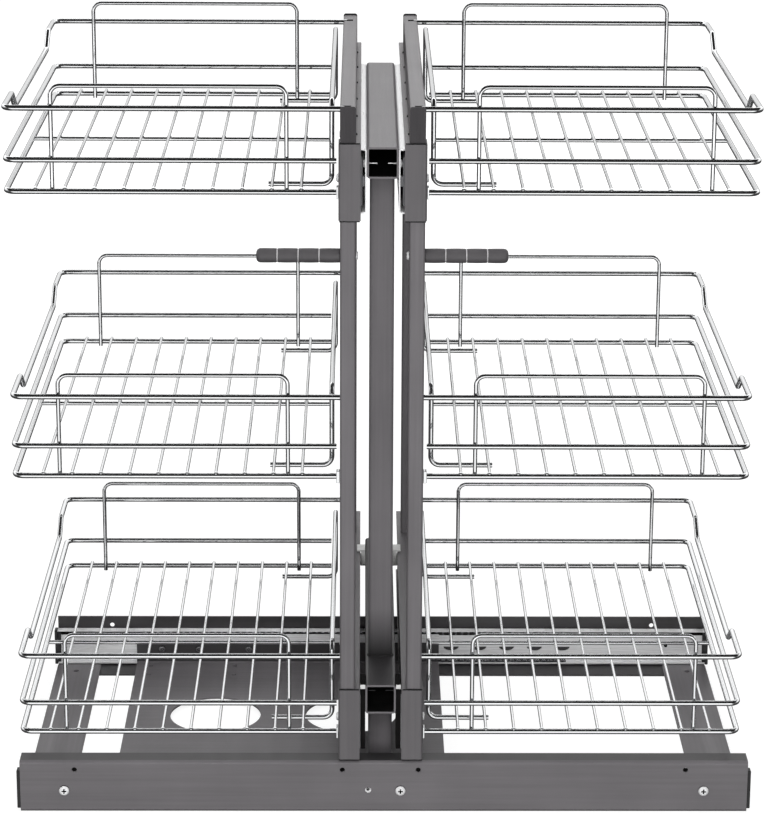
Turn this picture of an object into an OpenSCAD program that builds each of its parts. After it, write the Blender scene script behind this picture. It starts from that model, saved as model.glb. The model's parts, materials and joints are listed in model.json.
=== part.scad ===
// Blind corner pull out: a fixed base, a carriage that slides sideways and two columns that pull forward.
// Millimetres, Z up, X along the base, the user stands on the minus Y side.
// Origin: on the floor under the middle of the closed unit. Sizes along Y start at the front rail's face.

/* [Base] */
// Length of the front and rear rails
base_w = 720; // [640:1:900]
// Depth from the front face to the back face of the base
base_d = 402; // [360:1:460]
// Height of the front rail
rail_h = 54; // [48:1:70]
// Gap between the rear rail and the low housings
rear_gap = 2; // [1:0.5:6]
// Sheet thickness of rails, strips and plate
sheet = 2; // [1.5:0.1:3]
// Depth of the front rail's lips
front_lip = 22; // [18:1:30]
// Depth of the rear rail's floor lip
rear_lip = 39; // [30:1:60]
// Width of the floor strips
strip_w = 48; // [30:1:70]
// Diameter of the floor screw holes
floor_hole_d = 6; // [4:0.5:9]
// Diameter of the small holes in the front rail
rail_hole_d = 5; // [3:0.5:6]
// Diameter of the wall holes in the rear rail and the spare holes in the plate
wall_hole_d = 5; // [3:0.5:7]

/* [Base slides] */
// Height of the base slides
base_slide_h = 40; // [35:1:46]
// Thickness of the base slides
base_slide_t = 12.7; // [11:0.1:16]
// Wall of every slide member
slide_wall = 1.5; // [1:0.1:2]
// Height of the base slide middle line above the floor
base_slide_z = 23; // [21:0.5:30]
// Ball diameter in the base slides
base_ball_d = 4; // [3:0.1:5]
// Gap between a ball and each race
ball_fit = 0.1; // [0.05:0.01:0.2]
// Length of the end caps beyond the rails
cap_len = 3.5; // [3:0.5:10]

/* [Carriage] */
// Left edge of the carriage plate at rest
plate_x = -272; // [-300:1:-200]
// Width of the carriage plate
plate_w = 335; // [280:1:380]
// Sideways travel of the carriage
carriage_travel = 290; // [200:1:300]
// Gap between the plate and the floor strips
plate_gap = 1; // [0.5:0.1:3]
// Height of the plate's turned-up edges above the floor
plate_edge_h = 40; // [32:1:42]
// Diameter of the round openings in the plate
plate_round_d = 96; // [60:1:110]

/* [Mast] */
// Side of the square arm tubes
arm_s = 30; // [25:1:40]
// Wall of the mast tubes
arm_wall = 2; // [1.5:0.1:3]
// Length of the arms
arm_len = 440; // [400:1:470]
// Front end of the arms behind the front rail's face
arm_y = 1; // [0:0.5:20]
// Width of the post tube
post_w = 24; // [20:1:28]
// Depth of the post tube
post_d = 50; // [25:1:60]
// Front face of the post
post_y = 80; // [60:1:150]
// Middle of the two columns from the base middle at rest
column_x = -4; // [-20:1:20]

/* [Column slides] */
// Height of the column slides
slide_h = 62; // [52:1:66]
// Ball diameter in the column slides
slide_ball_d = 5.2; // [4:0.1:6]
// Depth of each slide member's flanges
slide_flange = 14; // [10:0.5:15]
// Length of the column slides
slide_len = 440; // [380:1:450]
// Pull of a column
column_travel = 430; // [350:1:430]
// Height of the top arm above its slide middle line
top_arm_rise = 18; // [10:1:20]
// Height of the top arm's middle above its screws
screw_drop = 4; // [0:0.5:5]
// Height of the bottom arm above its slide middle line
low_arm_rise = 25; // [16:1:25]
// Gap between the low arm and its slides, filled by feet at the ends
low_gap = 6; // [5:0.5:7]
// Length of the low slides' front feet
front_foot = 30; // [24:1:60]
// Length of the low slides' rear feet
rear_foot = 18; // [14:1:40]
// Distance from the rear feet to the low slides' rear ends
rear_foot_in = 22; // [10:1:40]

/* [Column frames] */
// Inner face of the uprights from the middle of the columns
frame_in = 25; // [24:0.5:30]
// Width of the uprights and top tube
tube_w = 15; // [12:1:20]
// Depth of the uprights
upright_d = 30; // [20:1:40]
// Height of the top tube
tube_h = 33.6; // [25:0.1:40]
// Wall of the frame tubes
tube_wall = 1.5; // [1:0.1:2]
// Height of the slide housings
housing_h = 73; // [71:0.5:80]
// Inner edge of the housings from the middle of the columns
housing_in = 20.5; // [19:0.5:23]
// Wall of the housings and brackets
housing_wall = 2; // [1.5:0.1:2.5]
// Distance between the two housing middle lines
housing_span = 544; // [480:1:600]
// Gap between a housing and the front rail
pass_gap = 4; // [3:0.5:8]
// Front face of the uprights in front of the rail's face
frame_front = 2.5; // [0:0.5:10]
// Length of the top tubes behind the baskets' back wires
frame_tail = 35.4; // [30:0.1:60]
// Length of the housings behind the top tubes
housing_tail = 20; // [0:1:40]
// Length of the brackets' side wings
wing_len = 25; // [18:1:28]

/* [Baskets] */
// Front wire to back wire
basket_d = 484.6; // [420:0.2:500]
// Outer wires from the middle of the columns
basket_out = 352.4; // [300:0.2:420]
// Front wires behind the front rail's face
basket_y = 5.5; // [4:0.5:10]
// Bottom wire of the low basket above the floor
low_tier_z = 84; // [76:0.5:100]
// Height of the middle basket above the low one, as a share of the distance between the housings
mid_tier_share = 0.486; // [0.42:0.001:0.53]
// Middle wire above the bottom wire
mid_wire_up = 30; // [20:1:40]
// Rim wire above the bottom wire
rim_up = 79; // [70:1:100]
// Lowered side wire above the bottom wire
low_side_up = 62.5; // [50:0.5:66]
// Guard loops above the bottom wire
loop_up = 99.2; // [90:0.2:130]
// Top of the top tube above the rim wire it carries
rim_sink = 2; // [1:0.5:2.5]
// Diameter of the frame wires
frame_wire_d = 5.5; // [4:0.1:7]
// Diameter of the guard loop wires
loop_wire_d = 4.2; // [3:0.1:6]
// Diameter of the floor wires
floor_wire_d = 3; // [2.5:0.1:4]
// Number of floor wires
floor_wires = 10; // [6:1:14]
// Spacing of the floor wires
floor_pitch = 27.6; // [20:0.1:32]
// Corner radius of the frame wires, to the wire's middle
corner_r = 9; // [6:0.5:14]
// Play of a wire end in its frame hole
hook_fit = 0.1; // [0.05:0.05:0.3]

/* [Handles and screws] */
// Length of a grip handle
grip_len = 79; // [60:1:110]
// Diameter of a grip handle
grip_d = 14; // [12:0.5:20]
// Middle of the handles below the top housings
grip_drop = 37; // [25:1:80]
// Screw shank diameter
screw_d = 4; // [3:0.1:5]
// Screw head diameter
head_d = 8.4; // [6:0.1:10]
// Screw head height
head_h = 2.2; // [1.5:0.1:2.4]
// Head diameter of the rail screws
rail_head_d = 10.4; // [8:0.1:12]
// Head height of the rail screws
rail_head_h = 2.8; // [2:0.1:3.4]
// Play of a screw in its hole
screw_fit = 0.05; // [0.03:0.01:0.1]

/* [Hidden] */
$fn = 48;
eps = 0.2;
dark = [0.42, 0.41, 0.42];
zinc = [0.75, 0.76, 0.78];
chrome = [0.85, 0.86, 0.88];
black = [0.06, 0.06, 0.07];

// Base levels
half_w = base_w/2;
rear_h = rail_h + pass_gap - rear_gap;
strip_z = sheet;
plate_z = 2*sheet + plate_gap;
rear_face = base_d - sheet;
screw_hole_d = screw_d + 2*screw_fit;
base_race = base_slide_h/2 - slide_wall;
base_ball_z = base_race - ball_fit - base_ball_d/2;
runner_half = base_ball_z - ball_fit - base_ball_d/2;
runner_depth = base_slide_t - 4;
plate_front = sheet + base_slide_t;
plate_rear = rear_face - base_slide_t;
cap_in = 3;
rail_depth = base_slide_t - 3;
cage_t = 1;
cage_reach = [3.2, base_slide_t - 3.6];
base_ball_y = 6.2;
cap_fit = 0.05;
base_screw_l = sheet + slide_wall + 2;
cap_notch = 8;
cap_web = 5;
cage_in = 6;
cage_x = plate_x + cage_in;
cage_len = min(plate_w + carriage_travel/2 - 1.5*cage_in, half_w - cap_in - 1 - carriage_travel/2 - cage_x);
cage_balls = 12;
rail_screw_in = 43.5;
mid_screw_x = 16;
front_screw_x = [rail_screw_in - half_w, mid_screw_x, half_w - rail_screw_in];
rail_hole_drop = 9;
rail_hole_out = half_w - 58;
rail_hole_near = 37.5;
rail_hole_x = [-rail_hole_out, -rail_hole_near, rail_hole_near, rail_hole_out];
wall_hole_x = half_w - 60;
wall_hole_drop = 10;
floor_hole_x = half_w - strip_w/2 + 2;
floor_hole_y = [base_d/4, base_d - rear_lip + 5];
stops = 5;
stop_pitch = 31;
stop_w = 14;
stop_h = 3;
stop_x = 76;
plate_screw_x = [28, 69, 124, plate_w - 40];
plate_round_x = [94, 238];
plate_round_y = base_d*0.585;
plate_spare_x = [16, 109];
plate_spare_in = [10, 36];
flange_t = 3;
flange_out = 16;
mast_r = 3;
tip_len = 8;

// Column slides, measured from the mast side
low_mid = rail_h + pass_gap + housing_h/2;
top_mid = low_mid + housing_span;
arm_half = arm_s/2;
housing_out = frame_in + tube_w;
slide_t = housing_out - housing_wall - arm_half;
race_a = slide_h/2 - slide_wall;
ball_a = race_a - ball_fit - slide_ball_d/2;
half_b = ball_a - ball_fit - slide_ball_d/2;
race_b = half_b - slide_wall;
ball_b = race_b - ball_fit - slide_ball_d/2;
half_c = ball_b - ball_fit - slide_ball_d/2;
middle_u = slide_wall + head_h + 0.4;
slide_y = arm_y + 2;
low_flange = slide_flange - low_gap + 2;
most_rise = race_a - head_d/2 - 0.3;
top_rise = min(top_arm_rise, most_rise + screw_drop);
low_rise = min(low_arm_rise, most_rise);
low_arm_top = low_mid + low_rise + arm_half;
top_arm_top = top_mid + top_rise + arm_half;
top_screw_z = top_mid + top_rise - screw_drop;
low_screw_z = low_mid + low_rise;
slide_screw_y = [16, slide_len/2, slide_len - 20];
rear_foot_y = slide_len - rear_foot_in - rear_foot;
foot_screw_y = [front_foot*0.73, rear_foot_y + rear_foot/2];
foot_fit = 0.6;
foot_under = 4.5;
lid_t = 2.4;
cage_y = slide_y + column_travel/4 + 1;
cage_l = slide_len - column_travel/2 - 2;
cage_half = 3;
slide_balls = 6;
ball_in = 10;

// Column frames
frame_y = -frame_front;
bracket_y = frame_y - housing_wall;
basket_back = basket_y + basket_d;
frame_back = basket_back + frame_tail;
frame_d = frame_back - frame_y;
housing_back = frame_back + housing_tail;
housing_l = housing_back - frame_y;
low_top = low_mid + housing_h/2;
top_low = top_mid - housing_h/2;
top_top = top_mid + housing_h/2;
tube_top = top_top + tube_h;
plug_t = 1.5;
wing_t = 1.5;
housing_screw_l = housing_wall + slide_wall + 2.5;
frame_r = 2.5;
plug_in = 8;
plug_fit = 0.05;
plug_low = 7;
plug_r = 1;
origin_y = -(housing_back + bracket_y)/2;
grip_z = top_low - grip_drop;
grip_y = frame_y + upright_d/2;
grip_bore = grip_len*0.45;
groove = 0.5;
groove_w = 1.2;
grip_r = 3;
rear_up_y = basket_back + 8 - upright_d;
tier = [low_tier_z, low_tier_z + mid_tier_share*housing_span, tube_top - rim_sink - rim_up];
hook_r = frame_wire_d/2 + hook_fit;
hook_in = housing_out - 4;

// Baskets, measured from the middle of the columns
wire_end = housing_out + 3.2;
saddle_x = housing_out + 8;
foot_y = 36;
loop_out = basket_out - 43.2;
loop_in = housing_out + 50;
floor_first = basket_out - 27.7;
stop_fit = 0.2;
stop_wing = housing_out + wing_t + stop_fit;
stop_bare = housing_out + stop_fit;
loop_in_y = (frame_wire_d + loop_wire_d)/2 - 0.5;
floor_up = (frame_wire_d + floor_wire_d)/2 - 0.5;
hook_len = 71;
rear_hook = 61.6;
step_len = 25;
kink_over = 0.3;
loop_foot = [3, 4];
back_in = 10;
stop_over = 0.3;
cross_in = 4;
saddle_d = frame_wire_d - 0.5;
loop_r = 9;
// The saddle's toes cross the innermost floor wires and end a little past the last one they cross.
toe_wires = 2;
toe_over = 4.1;
toe_end = floor_first - (floor_wires - toe_wires)*floor_pitch + toe_over;
stop_half = 4;
stop_up = 6;
floor_over = 1.2;

module left() { translate([column_x, origin_y, 0]) mirror([1, 0, 0]) children(); }
module right() { translate([column_x, origin_y, 0]) children(); }
module seat() { translate([0, origin_y, 0]) children(); }
module box(a, b) { translate(a) cube(b - a); }
// Round holes along X and Y
module bore_x(p, d, l) { translate(p) rotate([0, 90, 0]) cylinder(d = d, h = l); }
module bore_y(p, d, l) { translate(p) rotate([-90, 0, 0]) cylinder(d = d, h = l); }

// Straight wire or shank between two points
module rod(a, b, d) {
  v = b - a;
  l = norm(v);
  translate(a) rotate([0, acos(v[2]/l), atan2(v[1], v[0])]) cylinder(d = d, h = l);
}
function unit(v) = v/norm(v);
// Quarter bend at corner p, coming along u and leaving along v
module bend(p, u, v, r, d) {
  c = p - r*u + r*v;
  w = cross(-v, u);
  multmatrix([[-v[0], u[0], w[0], c[0]], [-v[1], u[1], w[1], c[1]], [-v[2], u[2], w[2], c[2]], [0, 0, 0, 1]])
    rotate_extrude(angle = 90) translate([r, 0]) circle(d = d);
}
// Wire through corners, bent to one radius or to a radius for each point, where 0 is a sharp kink
function rad(r, i) = is_list(r) ? r[i] : r;
function trim(p, r, i) = i == 0 || i == len(p) - 1 ? 0 : rad(r, i);
module wire(p, r, d) {
  n = len(p);
  for (i = [0:n - 2]) {
    u = unit(p[i + 1] - p[i]);
    rod(p[i] + u*trim(p, r, i), p[i + 1] - u*trim(p, r, i + 1), d);
  }
  for (i = [1:n - 2])
    if (rad(r, i) > 0) bend(p[i], unit(p[i] - p[i - 1]), unit(p[i + 1] - p[i]), rad(r, i), d);
    else translate(p[i]) sphere(d = d + kink_over);
}
// Flat tube with rounded corners standing on Z
module tube_z(w, d, h, t, r) {
  linear_extrude(h) difference() {
    rounded(w, d, r);
    translate([t, t]) rounded(w - 2*t, d - 2*t, max(r - t, 0.4));
  }
}
module rounded(w, d, r) {
  union() {
    translate([r, 0]) square([w - 2*r, d]);
    translate([0, r]) square([w, d - 2*r]);
    for (x = [r, w - r], y = [r, d - r]) translate([x, y]) circle(r);
  }
}
// Flat tube lying along Y, its lower front left corner at a
module tube_y(a, w, h, l, t, r) {
  translate([a[0], a[1] + l, a[2]]) rotate([90, 0, 0]) tube_z(w, h, l, t, r);
}
// Pan head screw pointing along +Z from the seat at its head
module screw(l, d = head_d, h = head_h) {
  union() {
    translate([0, 0, -eps]) cylinder(d = screw_d, h = l + eps);
    translate([0, 0, -h]) cylinder(d1 = d - 1.6, d2 = d, h = h);
  }
}
// U channel profile lying along Y: web on the low X side, flanges towards +X
module channel_y(x, y, l, half, t, flange) {
  difference() {
    box([x, y, -half], [x + flange, y + l, half]);
    box([x + t, y - 1, -half + t], [x + flange + 1, y + l + 1, half - t]);
  }
}

// Base pieces

module base_front_rail() color(dark) seat() difference() {
  union() {
    box([-half_w, 0, 0], [half_w, sheet, rail_h]);
    box([-half_w, 0, rail_h - sheet], [half_w, front_lip, rail_h]);
    box([-half_w, 0, 0], [half_w, front_lip, sheet]);
  }
  for (x = concat(front_screw_x, [-mid_screw_x]))
    bore_y([x, -1, base_slide_z], screw_hole_d, sheet + 2);
  for (x = rail_hole_x)
    bore_y([column_x + x, -1, rail_h - rail_hole_drop], rail_hole_d, sheet + 2);
}
module base_rear_rail() color(dark*0.6) seat() difference() {
  union() {
    box([-half_w, rear_face, 0], [half_w, base_d, rear_h]);
    box([-half_w, base_d - rear_lip, 0], [half_w, base_d, sheet]);
  }
  for (x = [-wall_hole_x, wall_hole_x])
    bore_y([x, rear_face - 1, rear_h - wall_hole_drop], wall_hole_d, sheet + 2);
  for (x = front_screw_x)
    bore_y([x, rear_face - 1, base_slide_z], screw_hole_d, sheet + 2);
  for (s = [-1, 1])
    translate([s*floor_hole_x, floor_hole_y[1], -1]) cylinder(d = floor_hole_d, h = sheet + 2);
}
module strip() difference() {
  box([half_w - strip_w, plate_front, strip_z], [half_w, plate_rear, strip_z + sheet]);
  for (y = floor_hole_y) translate([floor_hole_x, y, 0]) cylinder(d = floor_hole_d, h = 3*sheet);
}
module base_right_strip() color(dark) seat() strip();
module base_left_strip() color(dark) seat() mirror([1, 0, 0]) strip();

// Slide rail on a wall at y = 0, opening towards +Y
module slide_rail() difference() {
  box([-half_w, 0, -base_slide_h/2], [half_w, rail_depth, base_slide_h/2]);
  box([-half_w - 1, slide_wall, -base_race], [half_w + 1, base_slide_t, base_race]);
  for (x = front_screw_x) bore_y([x, -1, 0], screw_hole_d, slide_wall + 2);
}
module front_place() { translate([0, sheet, base_slide_z]) children(); }
module rear_place() { translate([0, rear_face, base_slide_z]) mirror([0, 1, 0]) children(); }
module front_slide_rail() color(zinc) seat() front_place() slide_rail();
module rear_slide_rail() color(zinc) seat() difference() {
  rear_place() slide_rail();
  for (i = [0:stops - 1])
    translate([stop_x + stop_pitch*i, rear_face - slide_wall - 1, base_slide_z - stop_h])
      cube([stop_w, slide_wall + 2, stop_h]);
}
module end_cap() difference() {
  union() {
    box([half_w, 0, -base_slide_h/2], [half_w + cap_len, rail_depth, base_slide_h/2]);
    box([half_w - cap_in, slide_wall + cap_fit, cap_fit - base_race],
      [half_w + eps, rail_depth, base_race - cap_fit]);
  }
  box([half_w - cap_in - 1, cap_web, -cap_notch], [half_w + cap_len + 1, base_slide_t, cap_notch]);
}
module slide_end_caps() color(black) seat() for (m = [0, 1]) mirror([m, 0, 0]) {
  front_place() end_cap();
  rear_place() end_cap();
}
module rail_screws() color(zinc) seat() for (x = front_screw_x) {
  translate([x, 0, base_slide_z]) rotate([-90, 0, 0]) screw(base_screw_l, rail_head_d, rail_head_h);
  translate([x, base_d, base_slide_z]) rotate([90, 0, 0]) screw(base_screw_l, rail_head_d, rail_head_h);
}
// Cage strip with balls for the two races of a base slide
module base_cage() for (s = [-1, 1]) union() {
  box([cage_x, cage_reach[0], s*base_ball_z - cage_t/2],
    [cage_x + cage_len, cage_reach[1], s*base_ball_z + cage_t/2]);
  for (i = [0:cage_balls - 1])
    translate([cage_x + 2*cage_in + i*(cage_len - 4*cage_in)/(cage_balls - 1), base_ball_y, s*base_ball_z])
      sphere(d = base_ball_d);
}
module base_ball_cages() color(zinc*0.7) seat() { front_place() base_cage(); rear_place() base_cage(); }

// Carriage pieces

module runner() difference() {
  box([plate_x, base_slide_t - runner_depth, -runner_half], [plate_x + plate_w, base_slide_t, runner_half]);
  box([plate_x - 1, 0, -runner_half + slide_wall],
    [plate_x + plate_w + 1, base_slide_t - slide_wall, runner_half - slide_wall]);
  for (x = plate_screw_x)
    bore_y([plate_x + x, base_slide_t - slide_wall - 1, 0], screw_hole_d, slide_wall + 2);
}
module front_slide_runner() color(zinc) seat() front_place() runner();
module rear_slide_runner() color(zinc) seat() rear_place() runner();
module carriage_plate() color(dark) seat() difference() {
  union() {
    box([plate_x, plate_front, plate_z], [plate_x + plate_w, plate_rear, plate_z + sheet]);
    box([plate_x, plate_front, plate_z], [plate_x + plate_w, plate_front + sheet, plate_edge_h]);
    box([plate_x, plate_rear - sheet, plate_z], [plate_x + plate_w, plate_rear, plate_edge_h]);
  }
  for (x = plate_screw_x, y = [plate_front, plate_rear - sheet])
    bore_y([plate_x + x, y - 1, base_slide_z], screw_hole_d, sheet + 2);
  for (x = plate_round_x)
    translate([plate_x + x, plate_round_y, plate_z - 1]) cylinder(d = plate_round_d, h = sheet + 2);
  for (x = plate_spare_x, y = plate_spare_in)
    translate([plate_x + x, plate_rear - sheet - y, plate_z - 1]) cylinder(d = wall_hole_d, h = sheet + 2);
}
module plate_screws() color(zinc) seat() for (x = plate_screw_x) {
  translate([plate_x + x, plate_front + sheet, base_slide_z]) rotate([90, 0, 0]) screw(base_screw_l);
  translate([plate_x + x, plate_rear - sheet, base_slide_z]) rotate([-90, 0, 0]) screw(base_screw_l);
}
module mast_foot() color(dark) right() union() {
  translate([-post_w/2, post_y, plate_z + sheet + flange_t - eps])
    tube_z(post_w, post_d, low_arm_top - arm_s - plate_z - sheet - flange_t + eps, arm_wall, mast_r);
  box([-post_w, post_y - flange_out, plate_z + sheet],
    [post_w, post_y + post_d + flange_out, plate_z + sheet + flange_t]);
}
module arm(mid, screws_y, screw_z) difference() {
  tube_y([-arm_half, arm_y, mid - arm_half], arm_s, arm_s, arm_len, arm_wall, mast_r);
  for (s = [-1, 1], y = screws_y)
    translate([0, slide_y + y, screw_z]) rotate([0, s*90, 0]) cylinder(d = screw_hole_d, h = arm_s);
}
module mast_bottom_arm() color(dark) right() arm(low_mid + low_rise, foot_screw_y, low_screw_z);
module mast_top_arm() color(dark) right() arm(top_mid + top_rise, slide_screw_y, top_screw_z);
module mast_post() color(dark) right() translate([-post_w/2, post_y, low_arm_top])
  tube_z(post_w, post_d, top_arm_top - arm_s - low_arm_top, arm_wall, mast_r);
module arm_screws() color(zinc) right() for (m = [0, 1]) mirror([m, 0, 0]) {
  for (y = slide_screw_y)
    translate([arm_half + slide_wall, slide_y + y, top_screw_z]) rotate([0, -90, 0])
      screw(slide_wall + arm_wall + tip_len);
  for (y = foot_screw_y)
    translate([arm_half + low_gap + slide_wall, slide_y + y, low_screw_z]) rotate([0, -90, 0])
      screw(slide_wall + low_gap + arm_wall + tip_len);
}

// Column slide members on the right column, middle line at z = 0

module top_outer() difference() {
  channel_y(arm_half, slide_y, slide_len, slide_h/2, slide_wall, slide_flange);
  for (y = slide_screw_y)
    bore_x([arm_half - 1, slide_y + y, top_rise - screw_drop], screw_hole_d, slide_wall + 2);
}
// The low members stand off the arm on two feet, and the rear foot reaches over the housing to hold it down
module low_outer() difference() {
  union() {
    channel_y(arm_half + low_gap, slide_y, slide_len, slide_h/2, slide_wall, low_flange);
    foot(0, front_foot, -slide_h/2 + mast_r);
    foot(rear_foot_y, rear_foot, low_rise - foot_under);
    box([arm_half, slide_y + rear_foot_y, housing_h/2 + foot_fit],
      [frame_in - 1, slide_y + rear_foot_y + rear_foot, housing_h/2 + foot_fit + lid_t]);
  }
  for (y = foot_screw_y) bore_x([arm_half - 1, slide_y + y, low_rise], screw_hole_d, low_gap + slide_wall + 2);
}
module foot(y, l, low) {
  y0 = slide_y + y;
  box([arm_half, y0, low], [housing_in - foot_fit, y0 + l, housing_h/2 + foot_fit + lid_t]);
  box([arm_half, y0, low], [arm_half + low_gap + slide_wall/2, y0 + l, slide_h/2 - slide_wall]);
}
module slide_middle(gap, flange)
  channel_y(arm_half + gap + middle_u, slide_y, slide_len, half_b, slide_wall, flange);
module slide_inner(flange) difference() {
  translate([housing_out - housing_wall, 0, 0]) mirror([1, 0, 0])
    channel_y(0, slide_y, slide_len, half_c, slide_wall, flange - 0.5);
  for (y = slide_screw_y)
    bore_x([housing_out - housing_wall - slide_wall - 1, slide_y + y, 0], screw_hole_d, slide_wall + 2);
}
module cage(z, x) for (s = [-1, 1]) union() {
  box([x - cage_half, cage_y, s*z - cage_t/2], [x + cage_half, cage_y + cage_l, s*z + cage_t/2]);
  for (i = [0:slide_balls - 1])
    translate([x, cage_y + ball_in + i*(cage_l - 2*ball_in)/(slide_balls - 1), s*z]) sphere(d = slide_ball_d);
}
module at_top() { translate([0, 0, top_mid]) children(); }
module at_low() { translate([0, 0, low_mid]) children(); }
// Balls run in the middle of the overlap of the two flanges
module outer_cages() {
  at_top() cage(ball_a, arm_half + (middle_u + slide_flange)/2);
  at_low() cage(ball_a, arm_half + low_gap + (middle_u + low_flange)/2);
}
module inner_cages() {
  at_top() cage(ball_b, arm_half + (middle_u + slide_t + 0.5)/2);
  at_low() cage(ball_b, arm_half + (low_gap + middle_u + slide_t + 0.5)/2);
}
module left_top_slide_outer() color(zinc) left() at_top() top_outer();
module left_low_slide_outer() color(zinc) left() at_low() low_outer();
module right_top_slide_outer() color(zinc) right() at_top() top_outer();
module right_low_slide_outer() color(zinc) right() at_low() low_outer();
module left_top_slide_middle() color(zinc) left() at_top() slide_middle(0, slide_flange);
module left_low_slide_middle() color(zinc) left() at_low() slide_middle(low_gap, low_flange);
module right_top_slide_middle() color(zinc) right() at_top() slide_middle(0, slide_flange);
module right_low_slide_middle() color(zinc) right() at_low() slide_middle(low_gap, low_flange);
module left_top_slide_inner() color(zinc) left() at_top() slide_inner(slide_flange);
module left_low_slide_inner() color(zinc) left() at_low() slide_inner(low_flange);
module right_top_slide_inner() color(zinc) right() at_top() slide_inner(slide_flange);
module right_low_slide_inner() color(zinc) right() at_low() slide_inner(low_flange);
module left_outer_cages() color(zinc*0.7) left() outer_cages();
module left_inner_cages() color(zinc*0.7) left() inner_cages();
module right_outer_cages() color(zinc*0.7) right() outer_cages();
module right_inner_cages() color(zinc*0.7) right() inner_cages();

// Column frame pieces of the right column

module housing() difference() {
  translate([housing_in + housing_out, 0, 0]) mirror([1, 0, 0])
    channel_y(housing_in, frame_y, housing_l, housing_h/2, housing_wall, housing_out - housing_in);
  for (y = slide_screw_y)
    bore_x([housing_out - housing_wall - 1, slide_y + y, 0], screw_hole_d, housing_wall + 2);
}
module bracket() difference() {
  union() {
    box([housing_in, bracket_y, -housing_h/2], [housing_out + wing_t, frame_y, housing_h/2]);
    box([housing_out, bracket_y, -housing_h/2], [housing_out + wing_t, frame_y + wing_len, housing_h/2]);
  }
  bore_x([housing_out - 1, slide_y + slide_screw_y[0], 0], screw_hole_d, wing_t + 2);
}
module top_tube() difference() {
  tube_y([frame_in, frame_y + plug_t, top_top], tube_w, tube_h, frame_d - 2*plug_t, tube_wall, frame_r);
  for (y = [basket_y, basket_back])
    box([hook_in - 3, y - hook_r, tier[2] + rim_up - hook_r], [housing_out + 1, y + hook_r, tube_top + 1]);
}
module plug() {
  linear_extrude(plug_t) rounded(tube_w, tube_h, frame_r);
  edge = tube_wall + plug_fit;
  translate([edge, edge, -plug_in]) linear_extrude(plug_in + eps)
    rounded(tube_w - 2*edge, tube_h - 2*edge - plug_low, plug_r);
}
module tube_plugs() {
  translate([frame_in, frame_y + plug_t, top_top]) rotate([90, 0, 0]) plug();
  translate([frame_in, frame_back - plug_t, top_top]) mirror([0, 1, 0]) rotate([90, 0, 0]) plug();
}
module upright(y, front) difference() {
  translate([frame_in, y, low_top]) tube_z(tube_w, upright_d, top_low - low_top, tube_wall, frame_r);
  hook_y = front ? basket_y : basket_back;
  for (i = [0, 1]) bore_x([housing_out - tube_wall - 1, hook_y, tier[i] + rim_up], 2*hook_r, tube_wall + 2);
  if (front) bore_x([frame_in - 1, grip_y, grip_z], screw_hole_d, tube_w + 2);
}
module grip() translate([housing_out, grip_y, grip_z]) rotate([0, 90, 0]) difference() {
  rotate_extrude() difference() {
    union() {
      square([grip_d/2, grip_len - grip_r]);
      square([grip_d/2 - grip_r, grip_len]);
      translate([grip_d/2 - grip_r, grip_len - grip_r]) circle(grip_r);
    }
    for (i = [1:3]) translate([grip_d/2 - groove, i*grip_len/4]) square([2, groove_w]);
    translate([-5, -1]) square([5, grip_len + 5]);
  }
  translate([0, 0, -1]) cylinder(d = screw_hole_d, h = grip_bore);
}
module column_screws() {
  translate([frame_in, grip_y, grip_z]) rotate([0, 90, 0]) screw(tube_w + grip_bore - 4);
  for (z = [low_mid, top_mid]) {
    translate([housing_out + wing_t, slide_y + slide_screw_y[0], z]) rotate([0, -90, 0])
      screw(wing_t + housing_screw_l);
    for (i = [1, 2]) translate([housing_out, slide_y + slide_screw_y[i], z]) rotate([0, -90, 0])
      screw(housing_screw_l);
  }
}
module left_top_housing() color(dark) left() at_top() housing();
module left_low_housing() color(dark) left() at_low() housing();
module right_top_housing() color(dark) right() at_top() housing();
module right_low_housing() color(dark) right() at_low() housing();
module left_top_bracket() color(dark) left() at_top() bracket();
module left_low_bracket() color(dark) left() at_low() bracket();
module right_top_bracket() color(dark) right() at_top() bracket();
module right_low_bracket() color(dark) right() at_low() bracket();
module left_top_tube() color(dark) left() top_tube();
module right_top_tube() color(dark) right() top_tube();
module left_tube_plugs() color(black) left() tube_plugs();
module right_tube_plugs() color(black) right() tube_plugs();
module left_front_upright() color(dark) left() upright(frame_y, true);
module left_rear_upright() color(dark) left() upright(rear_up_y, false);
module right_front_upright() color(dark) right() upright(frame_y, true);
module right_rear_upright() color(dark) right() upright(rear_up_y, false);
module left_grip() color(dark*0.7) left() grip();
module right_grip() color(dark*0.7) right() grip();
module left_column_screws() color(zinc) left() column_screws();
module right_column_screws() color(zinc) right() column_screws();

// Wire basket of the right column, its bottom wires at height z

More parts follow.
